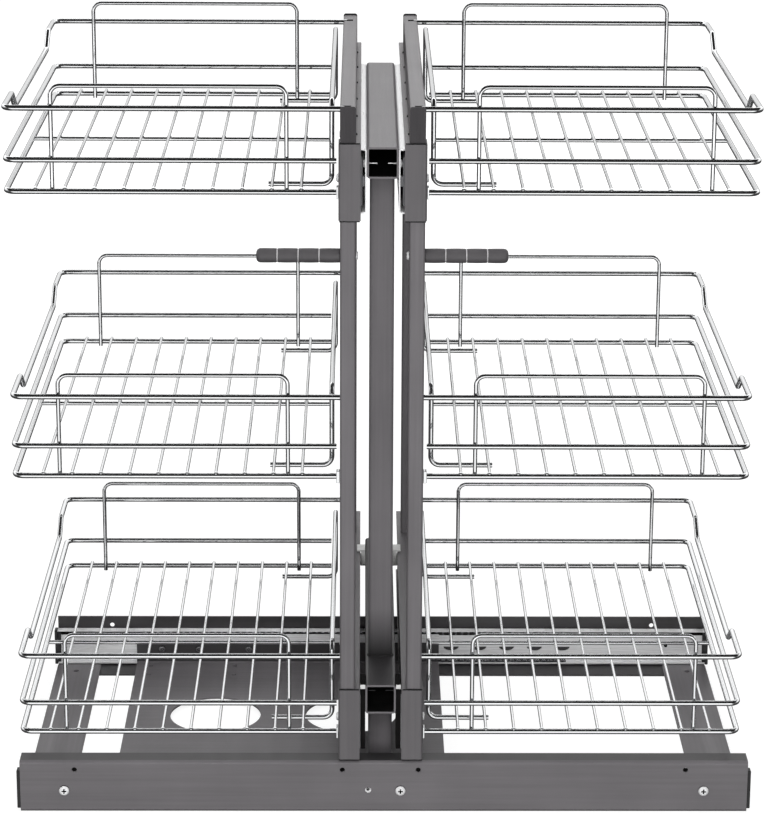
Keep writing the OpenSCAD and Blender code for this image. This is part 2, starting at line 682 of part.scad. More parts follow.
module guard_loop(y, low, high)
  wire([[loop_in, y, low], [loop_in, y, high], [loop_out, y, high], [loop_out, y, low]], loop_r, loop_wire_d);
module basket(z, stop) {
  f = basket_y;
  b = basket_back;
  o = basket_out;
  rim = z + rim_up;
  low = z + low_side_up;
  union() {
    wire([[hook_in, f, rim], [o, f, rim], [o, f + hook_len, rim], [o, f + hook_len + step_len, low],
      [o, b - rear_hook - step_len, low], [o, b - rear_hook, rim], [o, b, rim], [hook_in, b, rim]],
      [0, corner_r, 0, 0, 0, 0, corner_r, 0], frame_wire_d);
    for (h = [z, z + mid_wire_up])
      wire([[wire_end, f, h], [o, f, h], [o, b, h], [wire_end + back_in, b, h]], corner_r, frame_wire_d);
    box([stop, f - stop_half, z - stop_up], [wire_end + stop_over, f + stop_half, z + stop_up]);
    guard_loop(f + loop_in_y, z - loop_foot[0], z + loop_up);
    guard_loop(b - loop_in_y, z - loop_foot[1], z + loop_up);
    wire([[toe_end, f + foot_y, z], [saddle_x, f + foot_y, z], [saddle_x, f + foot_y, rim],
      [saddle_x, b - foot_y, rim], [saddle_x, b - foot_y, z], [toe_end, b - foot_y, z]],
      corner_r, saddle_d);
    rod([saddle_x + cross_in, (f + b)/2, z], [o, (f + b)/2, z], loop_wire_d);
    for (i = [0:floor_wires - 1])
      rod([floor_first - i*floor_pitch, f - floor_over, z + floor_up],
        [floor_first - i*floor_pitch, b + floor_over, z + floor_up], floor_wire_d);
  }
}
module left_top_basket() color(chrome) left() basket(tier[2], stop_wing);
module left_mid_basket() color(chrome) left() basket(tier[1], stop_bare);
module left_low_basket() color(chrome) left() basket(tier[0], stop_wing);
module right_top_basket() color(chrome) right() basket(tier[2], stop_wing);
module right_mid_basket() color(chrome) right() basket(tier[1], stop_bare);
module right_low_basket() color(chrome) right() basket(tier[0], stop_wing);

base_front_rail();
base_rear_rail();
base_left_strip();
base_right_strip();
front_slide_rail();
rear_slide_rail();
slide_end_caps();
rail_screws();
base_ball_cages();
carriage_plate();
front_slide_runner();
rear_slide_runner();
plate_screws();
mast_foot();
mast_bottom_arm();
mast_post();
mast_top_arm();
arm_screws();
left_top_slide_outer();
left_low_slide_outer();
right_top_slide_outer();
right_low_slide_outer();
left_top_slide_middle();
left_low_slide_middle();
right_top_slide_middle();
right_low_slide_middle();
left_outer_cages();
left_inner_cages();
right_outer_cages();
right_inner_cages();
left_top_slide_inner();
left_low_slide_inner();
right_top_slide_inner();
right_low_slide_inner();
left_top_housing();
left_low_housing();
right_top_housing();
right_low_housing();
left_top_bracket();
left_low_bracket();
right_top_bracket();
right_low_bracket();
left_top_tube();
right_top_tube();
left_tube_plugs();
right_tube_plugs();
left_front_upright();
left_rear_upright();
right_front_upright();
right_rear_upright();
left_grip();
right_grip();
left_column_screws();
right_column_screws();
left_top_basket();
left_mid_basket();
left_low_basket();
right_top_basket();
right_mid_basket();
right_low_basket();
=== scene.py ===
# %% [markdown]
# # Blind corner pull out: the looks
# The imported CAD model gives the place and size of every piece. This lesson gives each piece the finish of
# the real one: folded sheet with round bends, rolled slide channels, drawn wire and plated screws. The
# frame comes first, and its box is kept, because the finished model has to stay inside it.

# %% Load the frame
import json
import math

import bmesh
import bpy
from mathutils import Matrix, Vector

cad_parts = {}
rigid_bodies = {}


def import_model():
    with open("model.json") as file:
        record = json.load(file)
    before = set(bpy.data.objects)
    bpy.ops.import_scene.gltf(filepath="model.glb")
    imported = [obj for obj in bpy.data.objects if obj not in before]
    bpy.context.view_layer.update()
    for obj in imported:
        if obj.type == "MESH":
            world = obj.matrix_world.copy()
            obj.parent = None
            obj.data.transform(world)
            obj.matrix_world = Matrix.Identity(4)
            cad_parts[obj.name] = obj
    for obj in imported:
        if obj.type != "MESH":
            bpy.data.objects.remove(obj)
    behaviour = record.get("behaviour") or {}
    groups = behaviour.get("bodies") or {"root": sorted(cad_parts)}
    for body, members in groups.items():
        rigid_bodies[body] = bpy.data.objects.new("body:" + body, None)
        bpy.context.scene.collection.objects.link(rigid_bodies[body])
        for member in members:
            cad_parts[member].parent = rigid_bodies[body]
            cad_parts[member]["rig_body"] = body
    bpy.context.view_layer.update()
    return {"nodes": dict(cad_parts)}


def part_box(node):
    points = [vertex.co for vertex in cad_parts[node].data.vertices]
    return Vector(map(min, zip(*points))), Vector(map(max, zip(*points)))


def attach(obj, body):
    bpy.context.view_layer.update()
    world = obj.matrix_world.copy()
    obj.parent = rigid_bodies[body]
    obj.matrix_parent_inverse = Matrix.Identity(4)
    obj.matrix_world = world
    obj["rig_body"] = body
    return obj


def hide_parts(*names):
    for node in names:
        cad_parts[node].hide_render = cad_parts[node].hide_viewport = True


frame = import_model()
MM = 0.001
body_of = {node: shown["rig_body"] for node, shown in frame["nodes"].items()}

# %% [markdown]
# ## The camera
# The photograph was taken from the front with a long lens, a little above the baskets. Its place, tilt and
# focal length were solved from the crossings of the basket wires. The lens is given for a 36 mm sensor on
# the image's long side, and the small shift puts the optical axis where the solved one is.

# %% Camera
CAMERA_PLACE = Vector((-22.8, -3068.8, 1258.6)) * MM
CAMERA_TILT = -0.2874
CAMERA_TURN = 0.0141
CAMERA_ROLL = 0.0064
CAMERA_LENS = 135.16
CAMERA_SHIFT = (-0.0240, -0.0158)


def camera_axes(tilt, turn, roll):
    """Right, up and back directions of a camera that looks along +Y before it is turned."""
    ahead = Vector((math.sin(turn) * math.cos(tilt), math.cos(turn) * math.cos(tilt), math.sin(tilt)))
    level = Vector((math.cos(turn), -math.sin(turn), 0))
    upright = level.cross(ahead)
    right = math.cos(roll) * level + math.sin(roll) * upright
    up = math.cos(roll) * upright - math.sin(roll) * level
    return right, up, -ahead


camera_data = bpy.data.cameras.new("photo_camera")
camera = bpy.data.objects.new("photo_camera", camera_data)
bpy.context.scene.collection.objects.link(camera)
camera.matrix_world = Matrix.Translation(CAMERA_PLACE) @ Matrix(
    camera_axes(CAMERA_TILT, CAMERA_TURN, CAMERA_ROLL)).transposed().to_4x4()
camera_data.sensor_width = 36
camera_data.lens = CAMERA_LENS
camera_data.shift_x, camera_data.shift_y = CAMERA_SHIFT
camera_data.clip_end = 50
bpy.context.scene.camera = camera
print("camera", [round(v, 3) for v in camera.location])

# %% [markdown]
# ## Helpers for modelling
# An operator acts on what is selected, and the loaded nodes are still selected, so each helper starts by
# taking hold of one object. Faces and edges are picked in code by the places of their corners, and two
# places count as one where they lie nearer than a hundredth of a millimetre.

# %% Helpers: selection
SHARP = math.radians(40)
NEAR = 0.01 * MM


def clear_selection():
    if bpy.context.mode != "OBJECT":
        bpy.ops.object.mode_set(mode="OBJECT")
    bpy.ops.object.select_all(action="DESELECT")


def take(piece):
    clear_selection()
    piece.select_set(True)
    bpy.context.view_layer.objects.active = piece
    return piece


def edit(piece):
    take(piece)
    bpy.ops.object.mode_set(mode="EDIT")


def done():
    bpy.ops.object.mode_set(mode="OBJECT")


def pick(piece, kind, test):
    """In edit mode, selects the vertices, edges or faces whose list of corners passes the test."""
    bpy.ops.mesh.select_mode(type=kind)
    bpy.ops.mesh.select_all(action="DESELECT")
    mesh = bmesh.from_edit_mesh(piece.data)
    for item in {"VERT": mesh.verts, "EDGE": mesh.edges, "FACE": mesh.faces}[kind]:
        corners = [item.co.copy()] if kind == "VERT" else [v.co.copy() for v in item.verts]
        item.select_set(bool(test(corners)))
    mesh.select_flush_mode()
    bmesh.update_edit_mesh(piece.data)


# %% [markdown]
# A modifier is set and applied at once, so that the next step meets plain geometry. Most pieces end with a
# small bevel, because no edge of cut sheet or rolled steel is quite sharp. What repeats is modelled once
# and copied, and each copy has its own mesh, so that it can be moved or mirrored for good.

# %% Helpers: modifiers and copies
def changed(piece, kind, **settings):
    """Adds a modifier, sets it and applies it."""
    take(piece)
    change = piece.modifiers.new(kind, kind)
    for name, value in settings.items():
        setattr(change, name, value)
    bpy.ops.object.modifier_apply(modifier=change.name)
    return piece


def eased(piece, width, steps=3):
    """Breaks every sharp edge with a small round."""
    return changed(piece, "BEVEL", width=width, segments=steps, limit_method="ANGLE", angle_limit=SHARP)


def joined(parts, name):
    clear_selection()
    for part in parts:
        part.select_set(True)
    bpy.context.view_layer.objects.active = parts[0]
    bpy.ops.object.join()
    parts[0].name = name
    return parts[0]


def copied(piece, name, move):
    """A copy with its own mesh. A mirrored copy is turned right side out."""
    copy = piece.copy()
    copy.data = piece.data.copy()
    copy.name = name
    bpy.context.scene.collection.objects.link(copy)
    copy.data.transform(move)
    if move.determinant() < 0:
        copy.data.flip_normals()
    return copy


def shift(x=0, y=0, z=0):
    return Matrix.Translation((x, y, z))


# %% [markdown]
# ## Helpers for shapes
# Four shapes make up most of this object. A bent line is drawn by extruding a point from corner to corner
# and rounding the corners. With a round section it is a wire. Extruded sideways and given a thickness it is
# a folded sheet, with the bend radius that a press leaves. A block with its long edges rounded and its ends
# opened is a tube.

# %% Helper: bent lines
BEND_STEPS = 7


def bent_line(name, corners, bends):
    """A chain of edges through the corners. A bend is how far before its corner the rounding starts, which at
    a square corner is the radius. There is one bend for all, or one for each inner corner."""
    corners = [Vector(c) for c in corners]
    inner = corners[1:-1]
    radii = list(bends) if isinstance(bends, (list, tuple)) else [bends] * len(inner)
    clear_selection()
    bpy.ops.mesh.primitive_plane_add(size=MM)
    line = bpy.context.object
    line.name = name
    bpy.ops.object.mode_set(mode="EDIT")
    bpy.ops.mesh.select_mode(type="VERT")
    bpy.ops.mesh.merge(type="CENTER")
    bpy.ops.transform.translate(value=corners[0])
    for start, end in zip(corners, corners[1:]):
        bpy.ops.mesh.extrude_vertices_move(TRANSFORM_OT_translate={"value": end - start})
    for corner, radius in zip(inner, radii):
        pick(line, "VERT", lambda c: (c[0] - corner).length < NEAR)
        bpy.ops.mesh.bevel(offset=radius, segments=BEND_STEPS, affect="VERTICES")
    done()
    return line


# %% [markdown]
# A wire could be a chain of cylinders, but each bend would show its joints. So the bent line becomes a
# curve, gets its round section there and is made a mesh again. A folded sheet is the same kind of line, run
# out sideways, and a turned part is an outline spun round its axis.

# %% Helpers: wire, folded sheet and turned parts
def wire(name, corners, bends, diameter, sides=8):
    """A round wire along a bent line. sides counts the steps of a quarter of its section."""
    line = take(bent_line(name, corners, bends))
    bpy.ops.object.convert(target="CURVE")
    line = bpy.context.object
    line.data.bevel_depth = diameter / 2
    line.data.bevel_resolution = sides
    line.data.use_fill_caps = True
    bpy.ops.object.convert(target="MESH")
    return bpy.context.object


def folded(name, corners, bend, run, sheet):
    """A sheet folded along its corners, which lie on the outer skin, and run out sideways."""
    piece = bent_line(name, corners, bend)
    edit(piece)
    bpy.ops.mesh.select_all(action="SELECT")
    bpy.ops.mesh.extrude_region_move(TRANSFORM_OT_translate={"value": Vector(run)})
    bpy.ops.mesh.select_all(action="SELECT")
    bpy.ops.mesh.normals_make_consistent(inside=False)
    done()
    return changed(piece, "SOLIDIFY", thickness=sheet, offset=-1, use_even_offset=True)


def spun(name, outline, along, steps, bends=0):
    """Turns an outline round an axis through the origin."""
    piece = bent_line(name, outline, bends)
    edit(piece)
    bpy.ops.mesh.select_all(action="SELECT")
    axis = {"X": (1, 0, 0), "Z": (0, 0, 1)}[along]
    bpy.ops.mesh.spin(steps=steps, angle=math.tau, center=(0, 0, 0), axis=axis)
    bpy.ops.mesh.select_all(action="SELECT")
    bpy.ops.mesh.remove_doubles(threshold=NEAR / 2)
    bpy.ops.mesh.normals_make_consistent(inside=False)
    done()
    return piece


# %% [markdown]
# Square tube starts as a block. Its long edges are rounded, its ends are taken off, and Solidify gives the
# wall, so that the corners are round inside as well, as in drawn tube.

# %% Helpers: blocks and tubes
def added(add, name, scale=(1, 1, 1), **settings):
    """Adds a primitive with its operator, names it and applies its place, turn and scale."""
    clear_selection()
    add(**settings)
    piece = bpy.context.object
    piece.name = name
    piece.scale = scale
    bpy.ops.object.transform_apply(location=True, rotation=True, scale=True)
    return piece


def block(name, low, high):
    """A box from corner to corner, the start of a piece that is shaped further."""
    low, high = Vector(low), Vector(high)
    return added(bpy.ops.mesh.primitive_cube_add, name, high - low, size=1, location=(low + high) / 2)


def rounded(piece, along, radius, steps):
    """Rounds the edges of a block that run along an axis, 1 for Y and 2 for Z."""
    edit(piece)
    pick(piece, "EDGE", lambda c: abs((c[0] - c[1])[along]) > MM)
    bpy.ops.mesh.bevel(offset=radius, segments=steps, affect="EDGES")
    done()
    return piece


def tube(name, low, high, along, wall, corner):
    """A square tube with rounded corners and open ends. along is 1 for Y and 2 for Z."""
    piece = rounded(block(name, low, high), along, corner, 6)
    edit(piece)
    ends = (low[along], high[along])
    pick(piece, "FACE", lambda c: any(all(abs(p[along] - e) < NEAR for p in c) for e in ends))
    bpy.ops.mesh.delete(type="ONLY_FACE")
    done()
    return changed(piece, "SOLIDIFY", thickness=wall, offset=-1, use_even_offset=True)


# %% [markdown]
# Holes are drilled with a Boolean. Round cutters are cylinders along one axis, joined into one object, so
# that each piece is cut only once. A slice adds a line of edges at which the finish can change. Welds and
# sealer are laid by hand, so their beads are divided and their corners moved a little.

# %% Helpers: holes, slices, beads and boxes
TURN = {"X": (0, math.pi / 2, 0), "Y": (math.pi / 2, 0, 0), "Z": (0, 0, 0)}


def rod(name, middle, along, diameter, length, sides=40):
    return added(
        bpy.ops.mesh.primitive_cylinder_add, name, vertices=sides, radius=diameter / 2, depth=length,
        location=middle, rotation=TURN[along])


def cut(piece, cutters):
    cutter = joined(cutters, "cutter")
    changed(piece, "BOOLEAN", object=cutter, operation="DIFFERENCE", solver="EXACT")
    bpy.data.objects.remove(cutter)
    return piece


def drilled(piece, middles, along, diameter, depth=8 * MM, sides=40):
    return cut(piece, [rod("drill", m, along, diameter, depth, sides) for m in middles])


def sliced(piece, z):
    edit(piece)
    bpy.ops.mesh.select_all(action="SELECT")
    bpy.ops.mesh.bisect(plane_co=(0, 0, z), plane_no=(0, 0, 1))
    done()


def uneven(bead, cuts, wave, seed):
    edit(bead)
    bpy.ops.mesh.select_all(action="SELECT")
    bpy.ops.mesh.subdivide(number_cuts=cuts)
    bpy.ops.transform.vertex_random(offset=wave, seed=seed)
    done()
    return bead


def span(piece):
    places = [v.co for v in piece.data.vertices]
    low = Vector([min(p[i] for p in places) for i in range(3)])
    high = Vector([max(p[i] for p in places) for i in range(3)])
    return low, high


# %% [markdown]
# ## Finishes
# Every finish is made of nodes on Object coordinates, in metres, so that a grain has its real size and
# stays on its piece when the piece moves. Steady values are set on the shader itself. Only what varies over
# the surface is linked.

# %% Helpers: material nodes
def new_finish(name, **sockets):
    finish = bpy.data.materials.new(name)
    finish.use_nodes = True
    shader = finish.node_tree.nodes["Principled BSDF"]
    for socket, value in sockets.items():
        shader.inputs[socket.replace("_", " ")].default_value = value
    return finish, finish.node_tree, shader


def grain(tree, scale, detail, stretch=(1, 1, 1)):
    """Noise over the piece, with scale in cells per metre."""
    place = tree.nodes.new("ShaderNodeTexCoord")
    turn = tree.nodes.new("ShaderNodeMapping")
    turn.inputs["Scale"].default_value = stretch
    noise = tree.nodes.new("ShaderNodeTexNoise")
    noise.inputs["Scale"].default_value = scale
    noise.inputs["Detail"].default_value = detail
    tree.links.new(place.outputs["Object"], turn.inputs["Vector"])
    tree.links.new(turn.outputs["Vector"], noise.inputs["Vector"])
    return noise.outputs["Fac"]


def spread(tree, value, low, high, start=0.3, end=0.7):
    """Maps noise from its usual range to the range that a socket needs."""
    ramp = tree.nodes.new("ShaderNodeMapRange")
    ramp.inputs["From Min"].default_value = start
    ramp.inputs["From Max"].default_value = end
    ramp.inputs["To Min"].default_value = low
    ramp.inputs["To Max"].default_value = high
    tree.links.new(value, ramp.inputs["Value"])
    return ramp.outputs["Result"]


def two_tone(tree, value, first, second):
    blend = tree.nodes.new("ShaderNodeMix")
    blend.data_type = "RGBA"
    blend.inputs[6].default_value = (*first, 1)
    blend.inputs[7].default_value = (*second, 1)
    tree.links.new(value, blend.inputs["Factor"])
    return blend.outputs[2]


def rough_skin(tree, shader, height, strength, distance):
    bump = tree.nodes.new("ShaderNodeBump")
    bump.inputs["Strength"].default_value = strength
    bump.inputs["Distance"].default_value = distance
    tree.links.new(height, bump.inputs["Height"])
    tree.links.new(bump.outputs["Normal"], shader.inputs["Normal"])


# %% [markdown]
# The rails, tubes and housings carry a dark grey powder coat. It is satin, with a fine orange peel under a
# millimetre across. Its tone clouds very slightly over a hand's width, and the rolling lines of the sheet
# show through faintly along each piece. The brackets have a slightly darker coat. Two much darker coats are
# painted shade: the deep one on the rear rail and the bottom arm, the other on the front rail's lip and the
# plate's rear edge.

# %% Powder coat
PAINTED_SHADE_TONE = (0.008, 0.008, 0.008)


def shaded_below(tree, colour, bottom, top):
    """Darkens a colour from one height down to another, as painted shade."""
    place = tree.nodes.new("ShaderNodeTexCoord")
    axes = tree.nodes.new("ShaderNodeSeparateXYZ")
    tree.links.new(place.outputs["Object"], axes.inputs[0])
    clear = spread(tree, axes.outputs["Z"], 0, 1, bottom, top)
    blend = tree.nodes.new("ShaderNodeMix")
    blend.data_type = "RGBA"
    blend.inputs[6].default_value = (*PAINTED_SHADE_TONE, 1)
    tree.links.new(clear, blend.inputs["Factor"])
    tree.links.new(colour, blend.inputs[7])
    return blend.outputs[2]


def powder_coat(name, tone, along, shade_span=None):
    """Dark satin coat on a sheet rolled along an axis. Below the heights in shade_span it darkens as painted
    shade.
    """
    finish, tree, shader = new_finish(name, Specular_IOR_Level=0.5)
    lighter = [t * 1.14 for t in tone]
    darker = [t * 0.88 for t in tone]
    stretch = [0.02 if axis == along else 1 for axis in "XYZ"]
    mixed = tree.nodes.new("ShaderNodeMath")
    tree.links.new(grain(tree, 14, 3), mixed.inputs[0])
    tree.links.new(grain(tree, 320, 3, stretch), mixed.inputs[1])
    tone_at = spread(tree, mixed.outputs[0], 0, 1, 0.65, 1.35)
    colour = two_tone(tree, tone_at, darker, lighter)
    if shade_span:
        colour = shaded_below(tree, colour, *shade_span)
    tree.links.new(colour, shader.inputs["Base Color"])
    peel = grain(tree, 1500, 2)
    tree.links.new(spread(tree, peel, 0.34, 0.46), shader.inputs["Roughness"])
    rough_skin(tree, shader, peel, 0.25, 0.06 * MM)
    return finish


COAT_TONE = (0.150, 0.142, 0.150)
COAT_X = powder_coat("powder_coat_along_base", COAT_TONE, "X")
COAT_Y = powder_coat("powder_coat_along_column", COAT_TONE, "Y")
COAT_Z = powder_coat("powder_coat_upright", COAT_TONE, "Z")
# The next two coats are painted shade.
COAT_SHADE = powder_coat("powder_coat_painted_deep_shade", (0.036, 0.034, 0.036), "X")
COAT_HALF_SHADE = powder_coat("powder_coat_painted_half_shade", (0.047, 0.045, 0.047), "X")
COAT_BRACKET = powder_coat("bracket_powder_coat", (0.118, 0.112, 0.118), "Z")

# %% [markdown]
# The slides, cages and screws are zinc plated steel: bright and slightly blue, with draw lines along the
# length of the rolled channels. The plating is part mirror and part matt, so it also takes light from the
# lamps. The basket wires are polished and chrome plated, so they are almost mirrors, with a faint ripple
# that breaks up the reflections. Bearing balls are polished hard steel.

# %% Plated metal
def zinc_plate(name, tone, stretch, rough, mirror=0.35):
    finish, tree, shader = new_finish(name, Metallic=mirror)
    cloud = spread(tree, grain(tree, 60, 4, stretch), 0, 1)
    tree.links.new(two_tone(tree, cloud, [t * 0.86 for t in tone], tone), shader.inputs["Base Color"])
    lines = grain(tree, 900, 3, stretch)
    tree.links.new(spread(tree, lines, rough * 0.7, rough * 1.4), shader.inputs["Roughness"])
    rough_skin(tree, shader, lines, 0.05, 0.02 * MM)
    return finish


def polished(name, tone, rough):
    finish, tree, shader = new_finish(name, Metallic=1.0)
    haze = grain(tree, 220, 2)
    tree.links.new(two_tone(tree, haze, [t * 0.95 for t in tone], tone), shader.inputs["Base Color"])
    tree.links.new(spread(tree, haze, rough * 0.6, rough * 1.6), shader.inputs["Roughness"])
    rough_skin(tree, shader, grain(tree, 130, 1), 0.05, 0.05 * MM)
    return finish


ZINC_X = zinc_plate("zinc_drawn_along_base", (0.95, 0.95, 0.96), (0.02, 1, 1), 0.26, 0.1)
ZINC_PALE = zinc_plate("zinc_pale", (0.97, 0.97, 0.98), (1, 0.02, 1), 0.35, 0)
ZINC_Y = zinc_plate("zinc_drawn_along_column", (0.90, 0.91, 0.92), (1, 0.02, 1), 0.26)
# The next two zincs are painted shade, for slide members that lie in shadow.
ZINC_SHADE = zinc_plate("zinc_painted_shade", (0.30, 0.30, 0.31), (1, 0.02, 1), 0.35)
ZINC_DARK = zinc_plate("zinc_in_shade", (0.16, 0.16, 0.17), (1, 0.02, 1), 0.35)
ZINC_SCREW = zinc_plate("zinc_screw", (0.97, 0.97, 0.98), (1, 1, 1), 0.22, 0.15)
CAGE_STEEL = zinc_plate("cage_strip", (0.55, 0.56, 0.58), (0.05, 1, 1), 0.34)
# The base cage strips are near-black, as painted shade in the slide race.
CAGE_DARK = zinc_plate("base_cage_strip", (0.020, 0.020, 0.021), (0.05, 1, 1), 0.5)
SCREW_DARK = polished("dark_screw", (0.42, 0.42, 0.43), 0.16)
CHROME = polished("chrome_wire", (0.88, 0.89, 0.90), 0.05)
BALL_STEEL = polished("bearing_ball", (0.74, 0.75, 0.77), 0.08)

# %% [markdown]
# End caps and tube plugs are moulded black plastic with a fine spark grain. The grips are a softer dark
# grey moulding with a duller face.

# %% Plastics
def moulded(name, tone, rough, depth, cells=40, stretch=(1, 1, 1)):
    finish, tree, shader = new_finish(name, Specular_IOR_Level=0.45)
    cloud = spread(tree, grain(tree, cells, 3, stretch), 0, 1)
    pale = [t * 1.25 for t in tone]
    tree.links.new(two_tone(tree, cloud, tone, pale), shader.inputs["Base Color"])
    spark = grain(tree, 2600, 3)
    tree.links.new(spread(tree, spark, rough - 0.06, rough + 0.08), shader.inputs["Roughness"])
    rough_skin(tree, shader, spark, 0.3, depth)
    return finish


BLACK = moulded("black_moulding", (0.016, 0.016, 0.017), 0.46, 0.05 * MM)
PLUG_FACE = moulded("tube_plug", (0.044, 0.041, 0.044), 0.55, 0.05 * MM, 500, (1, 1, 0.08))
GRIP = moulded("grip_moulding", (0.080, 0.076, 0.080), 0.40, 0.07 * MM)
NYLON = moulded("white_nylon", (0.76, 0.76, 0.75), 0.45, 0.03 * MM)
# The grip grooves are light, as a painted highlight on their edges.
GRIP_GROOVE_HIGHLIGHT = moulded("grip_groove_painted_highlight", (0.500, 0.490, 0.500), 0.50, 0.02 * MM)

# %% [markdown]
# The insides of the tubes and other hollows are near-black with faint patches: painted shade where little
# light reaches. The tack welds take the same near-black.

# %% Near-black painted shade
NEAR_BLACK_TONES = (0.006, 0.006, 0.006), (0.012, 0.011, 0.011)


def near_black_finish(name):
    finish, tree, shader = new_finish(name, Specular_IOR_Level=0.1, Roughness=0.9)
    patches = spread(tree, grain(tree, 90, 4), 0, 1)
    tree.links.new(two_tone(tree, patches, *NEAR_BLACK_TONES), shader.inputs["Base Color"])
    return finish


INSIDE = near_black_finish("near_black")
print("finishes:", len(bpy.data.materials))

# %% [markdown]
# ## Handing a piece over
# A finished piece takes its material and its shading, rides on the body of the node that it stands for, and
# hides that node. Wide flat faces keep flat normals and the small rounds blend into them, which is what
# weighting the normals by face area does. The print says how far the piece's box is from the node's box.

# %% Helper: hand over
made = []


def hand_over(piece, node, finish, replaced=True):
    take(piece)
    bpy.ops.object.shade_smooth_by_angle(angle=SHARP)
    changed(piece, "WEIGHTED_NORMAL", keep_sharp=True)
    piece.data.materials.clear()
    piece.data.materials.append(finish)
    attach(piece, body_of[node])
    low, high = span(piece)
    if replaced:
        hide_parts(node)
        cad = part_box(node)
        off = max(max(abs(a) for a in low - cad[0]), max(abs(a) for a in high - cad[1]))
        print(f"{piece.name}: {len(piece.data.polygons)} faces, box within {off / MM:.2f} mm of its node")
    else:
        print(f"{piece.name}: {len(piece.data.polygons)} faces on {body_of[node]}")
    made.append(piece)
    return piece


# %% [markdown]
# Some pieces carry a second finish, such as the bare inside of a coated tube. A second object would double
# the wall, so the faces are picked by their place and given a second material slot.

# %% Helper: a second finish on some faces
def refinish(piece, finish, test):
    """Gives the faces whose corners pass the test a second finish."""
    piece.data.materials.append(finish)
    edit(piece)
    pick(piece, "FACE", test)
    piece.active_material_index = len(piece.data.materials) - 1
    bpy.ops.object.material_slot_assign()
    done()


# %% [markdown]
# ## The fixed base
# Two folded rails and two flat strips lie on the cabinet floor. The front rail is a channel: the face that
# shows below the baskets, a top lip and a floor lip. The rear rail is an angle. Both come off a press
# brake, so their bends are round while the cut edges are nearly sharp.

# %% Front rail
SHEET = 2 * MM
FOLD = 3.4 * MM
CUT_EDGE = 0.25 * MM
rail_low, rail_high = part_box("base_front_rail")
length = rail_high.x - rail_low.x
column_x = (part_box("left_top_tube")[0].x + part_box("right_top_tube")[1].x) / 2
slide_z = sum(v.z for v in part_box("front_slide_rail")) / 2


def along_x(y, z):
    return Vector((rail_low.x, y, z))


front_rail = folded(
    "front_rail_sheet",
    [along_x(rail_high.y, rail_high.z), along_x(rail_low.y, rail_high.z),
     along_x(rail_low.y, rail_low.z), along_x(rail_high.y, rail_low.z)],
    FOLD, (length, 0, 0), SHEET)
SMALL_HOLE = 5 * MM
SPARE_HOLE = 6.4 * MM
SMALL_HOLE_DROP = 9 * MM
SMALL_HOLE_REACH = (302 * MM, 37.5 * MM)
SPARE_HOLE_X = -16 * MM
small_holes = [
    (column_x + side * reach, rail_low.y, rail_high.z - SMALL_HOLE_DROP)
    for side in (-1, 1) for reach in SMALL_HOLE_REACH]
drilled(front_rail, small_holes, "Y", SMALL_HOLE)
drilled(front_rail, [(SPARE_HOLE_X, rail_low.y, slide_z)], "Y", SPARE_HOLE)
hand_over(eased(front_rail, CUT_EDGE), "base_front_rail", COAT_X)
# The top of the lip gets a darker coat: painted shade under the baskets.
refinish(front_rail, COAT_HALF_SHADE, lambda c: all(
    p.z > rail_high.z - NEAR and p.y > rail_low.y + FOLD - MM for p in c))

# %% [markdown]
# The rear rail is folded from the same sheet with the same bend. It has two fixing holes in its wall and
# two in its floor lip. Its coat is darkened as painted shade, and its top edge keeps the plain coat, a
# painted highlight where it catches the light.

# %% Rear rail
rear_low, rear_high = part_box("base_rear_rail")
rear_rail = folded(
    "rear_rail_sheet",
    [along_x(rear_low.y, rear_low.z), along_x(rear_high.y, rear_low.z), along_x(rear_high.y, rear_high.z)],
    FOLD, (length, 0, 0), SHEET)
WALL_HOLE = 5 * MM
WALL_HOLE_DROP = 10 * MM
WALL_HOLE_REACH = 300 * MM
wall_holes = [(side * WALL_HOLE_REACH, rear_high.y, rear_high.z - WALL_HOLE_DROP) for side in (-1, 1)]
drilled(rear_rail, wall_holes, "Y", WALL_HOLE)
FLOOR_HOLE = 6 * MM
FLOOR_HOLE_X = 338 * MM
FLOOR_HOLE_Y = (100.5 * MM, 368 * MM)
lip_holes = [(side * FLOOR_HOLE_X, rail_low.y + FLOOR_HOLE_Y[1], rear_low.z) for side in (-1, 1)]
drilled(rear_rail, lip_holes, "Z", FLOOR_HOLE)
# Painted shade on the rail, with the plain coat on its top edge as a painted highlight.
hand_over(eased(rear_rail, CUT_EDGE), "base_rear_rail", COAT_SHADE)
refinish(rear_rail, COAT_X, lambda c: all(p.z > rear_high.z - 0.5 * MM for p in c))

# %% [markdown]
# Each floor strip is a flat bar with a screw hole near each end. The outer corners are clipped round by the
# shear, which shows as a small radius in the plan.

# %% Floor strips
STRIP_CORNER = 2 * MM
for node in ("base_right_strip", "base_left_strip"):
    low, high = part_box(node)
    strip = rounded(block(node + "_bar", low, high), 2, STRIP_CORNER, 5)
    hole_x = math.copysign(FLOOR_HOLE_X, low.x)
    drilled(strip, [(hole_x, rail_low.y + y, low.z) for y in FLOOR_HOLE_Y], "Z", FLOOR_HOLE)
    hand_over(eased(strip, CUT_EDGE), node, COAT_Y)

# %% [markdown]
# ## The base slides
# A slide rail is rolled from zinc plated strip into a C. Its edges curl in over the ball race, which keeps
# the balls from falling out. The runner inside has the same section, turned to face the rail. Both are
# drawn as one bent line across the section and run out along the base.

# %% Slide rails and runners
SLIDE_WALL = 1.5 * MM
SLIDE_BEND = 2.6 * MM
LIP = 2.4 * MM
LIP_BEND = 1.8 * MM
ROLLED_EDGE = 0.15 * MM


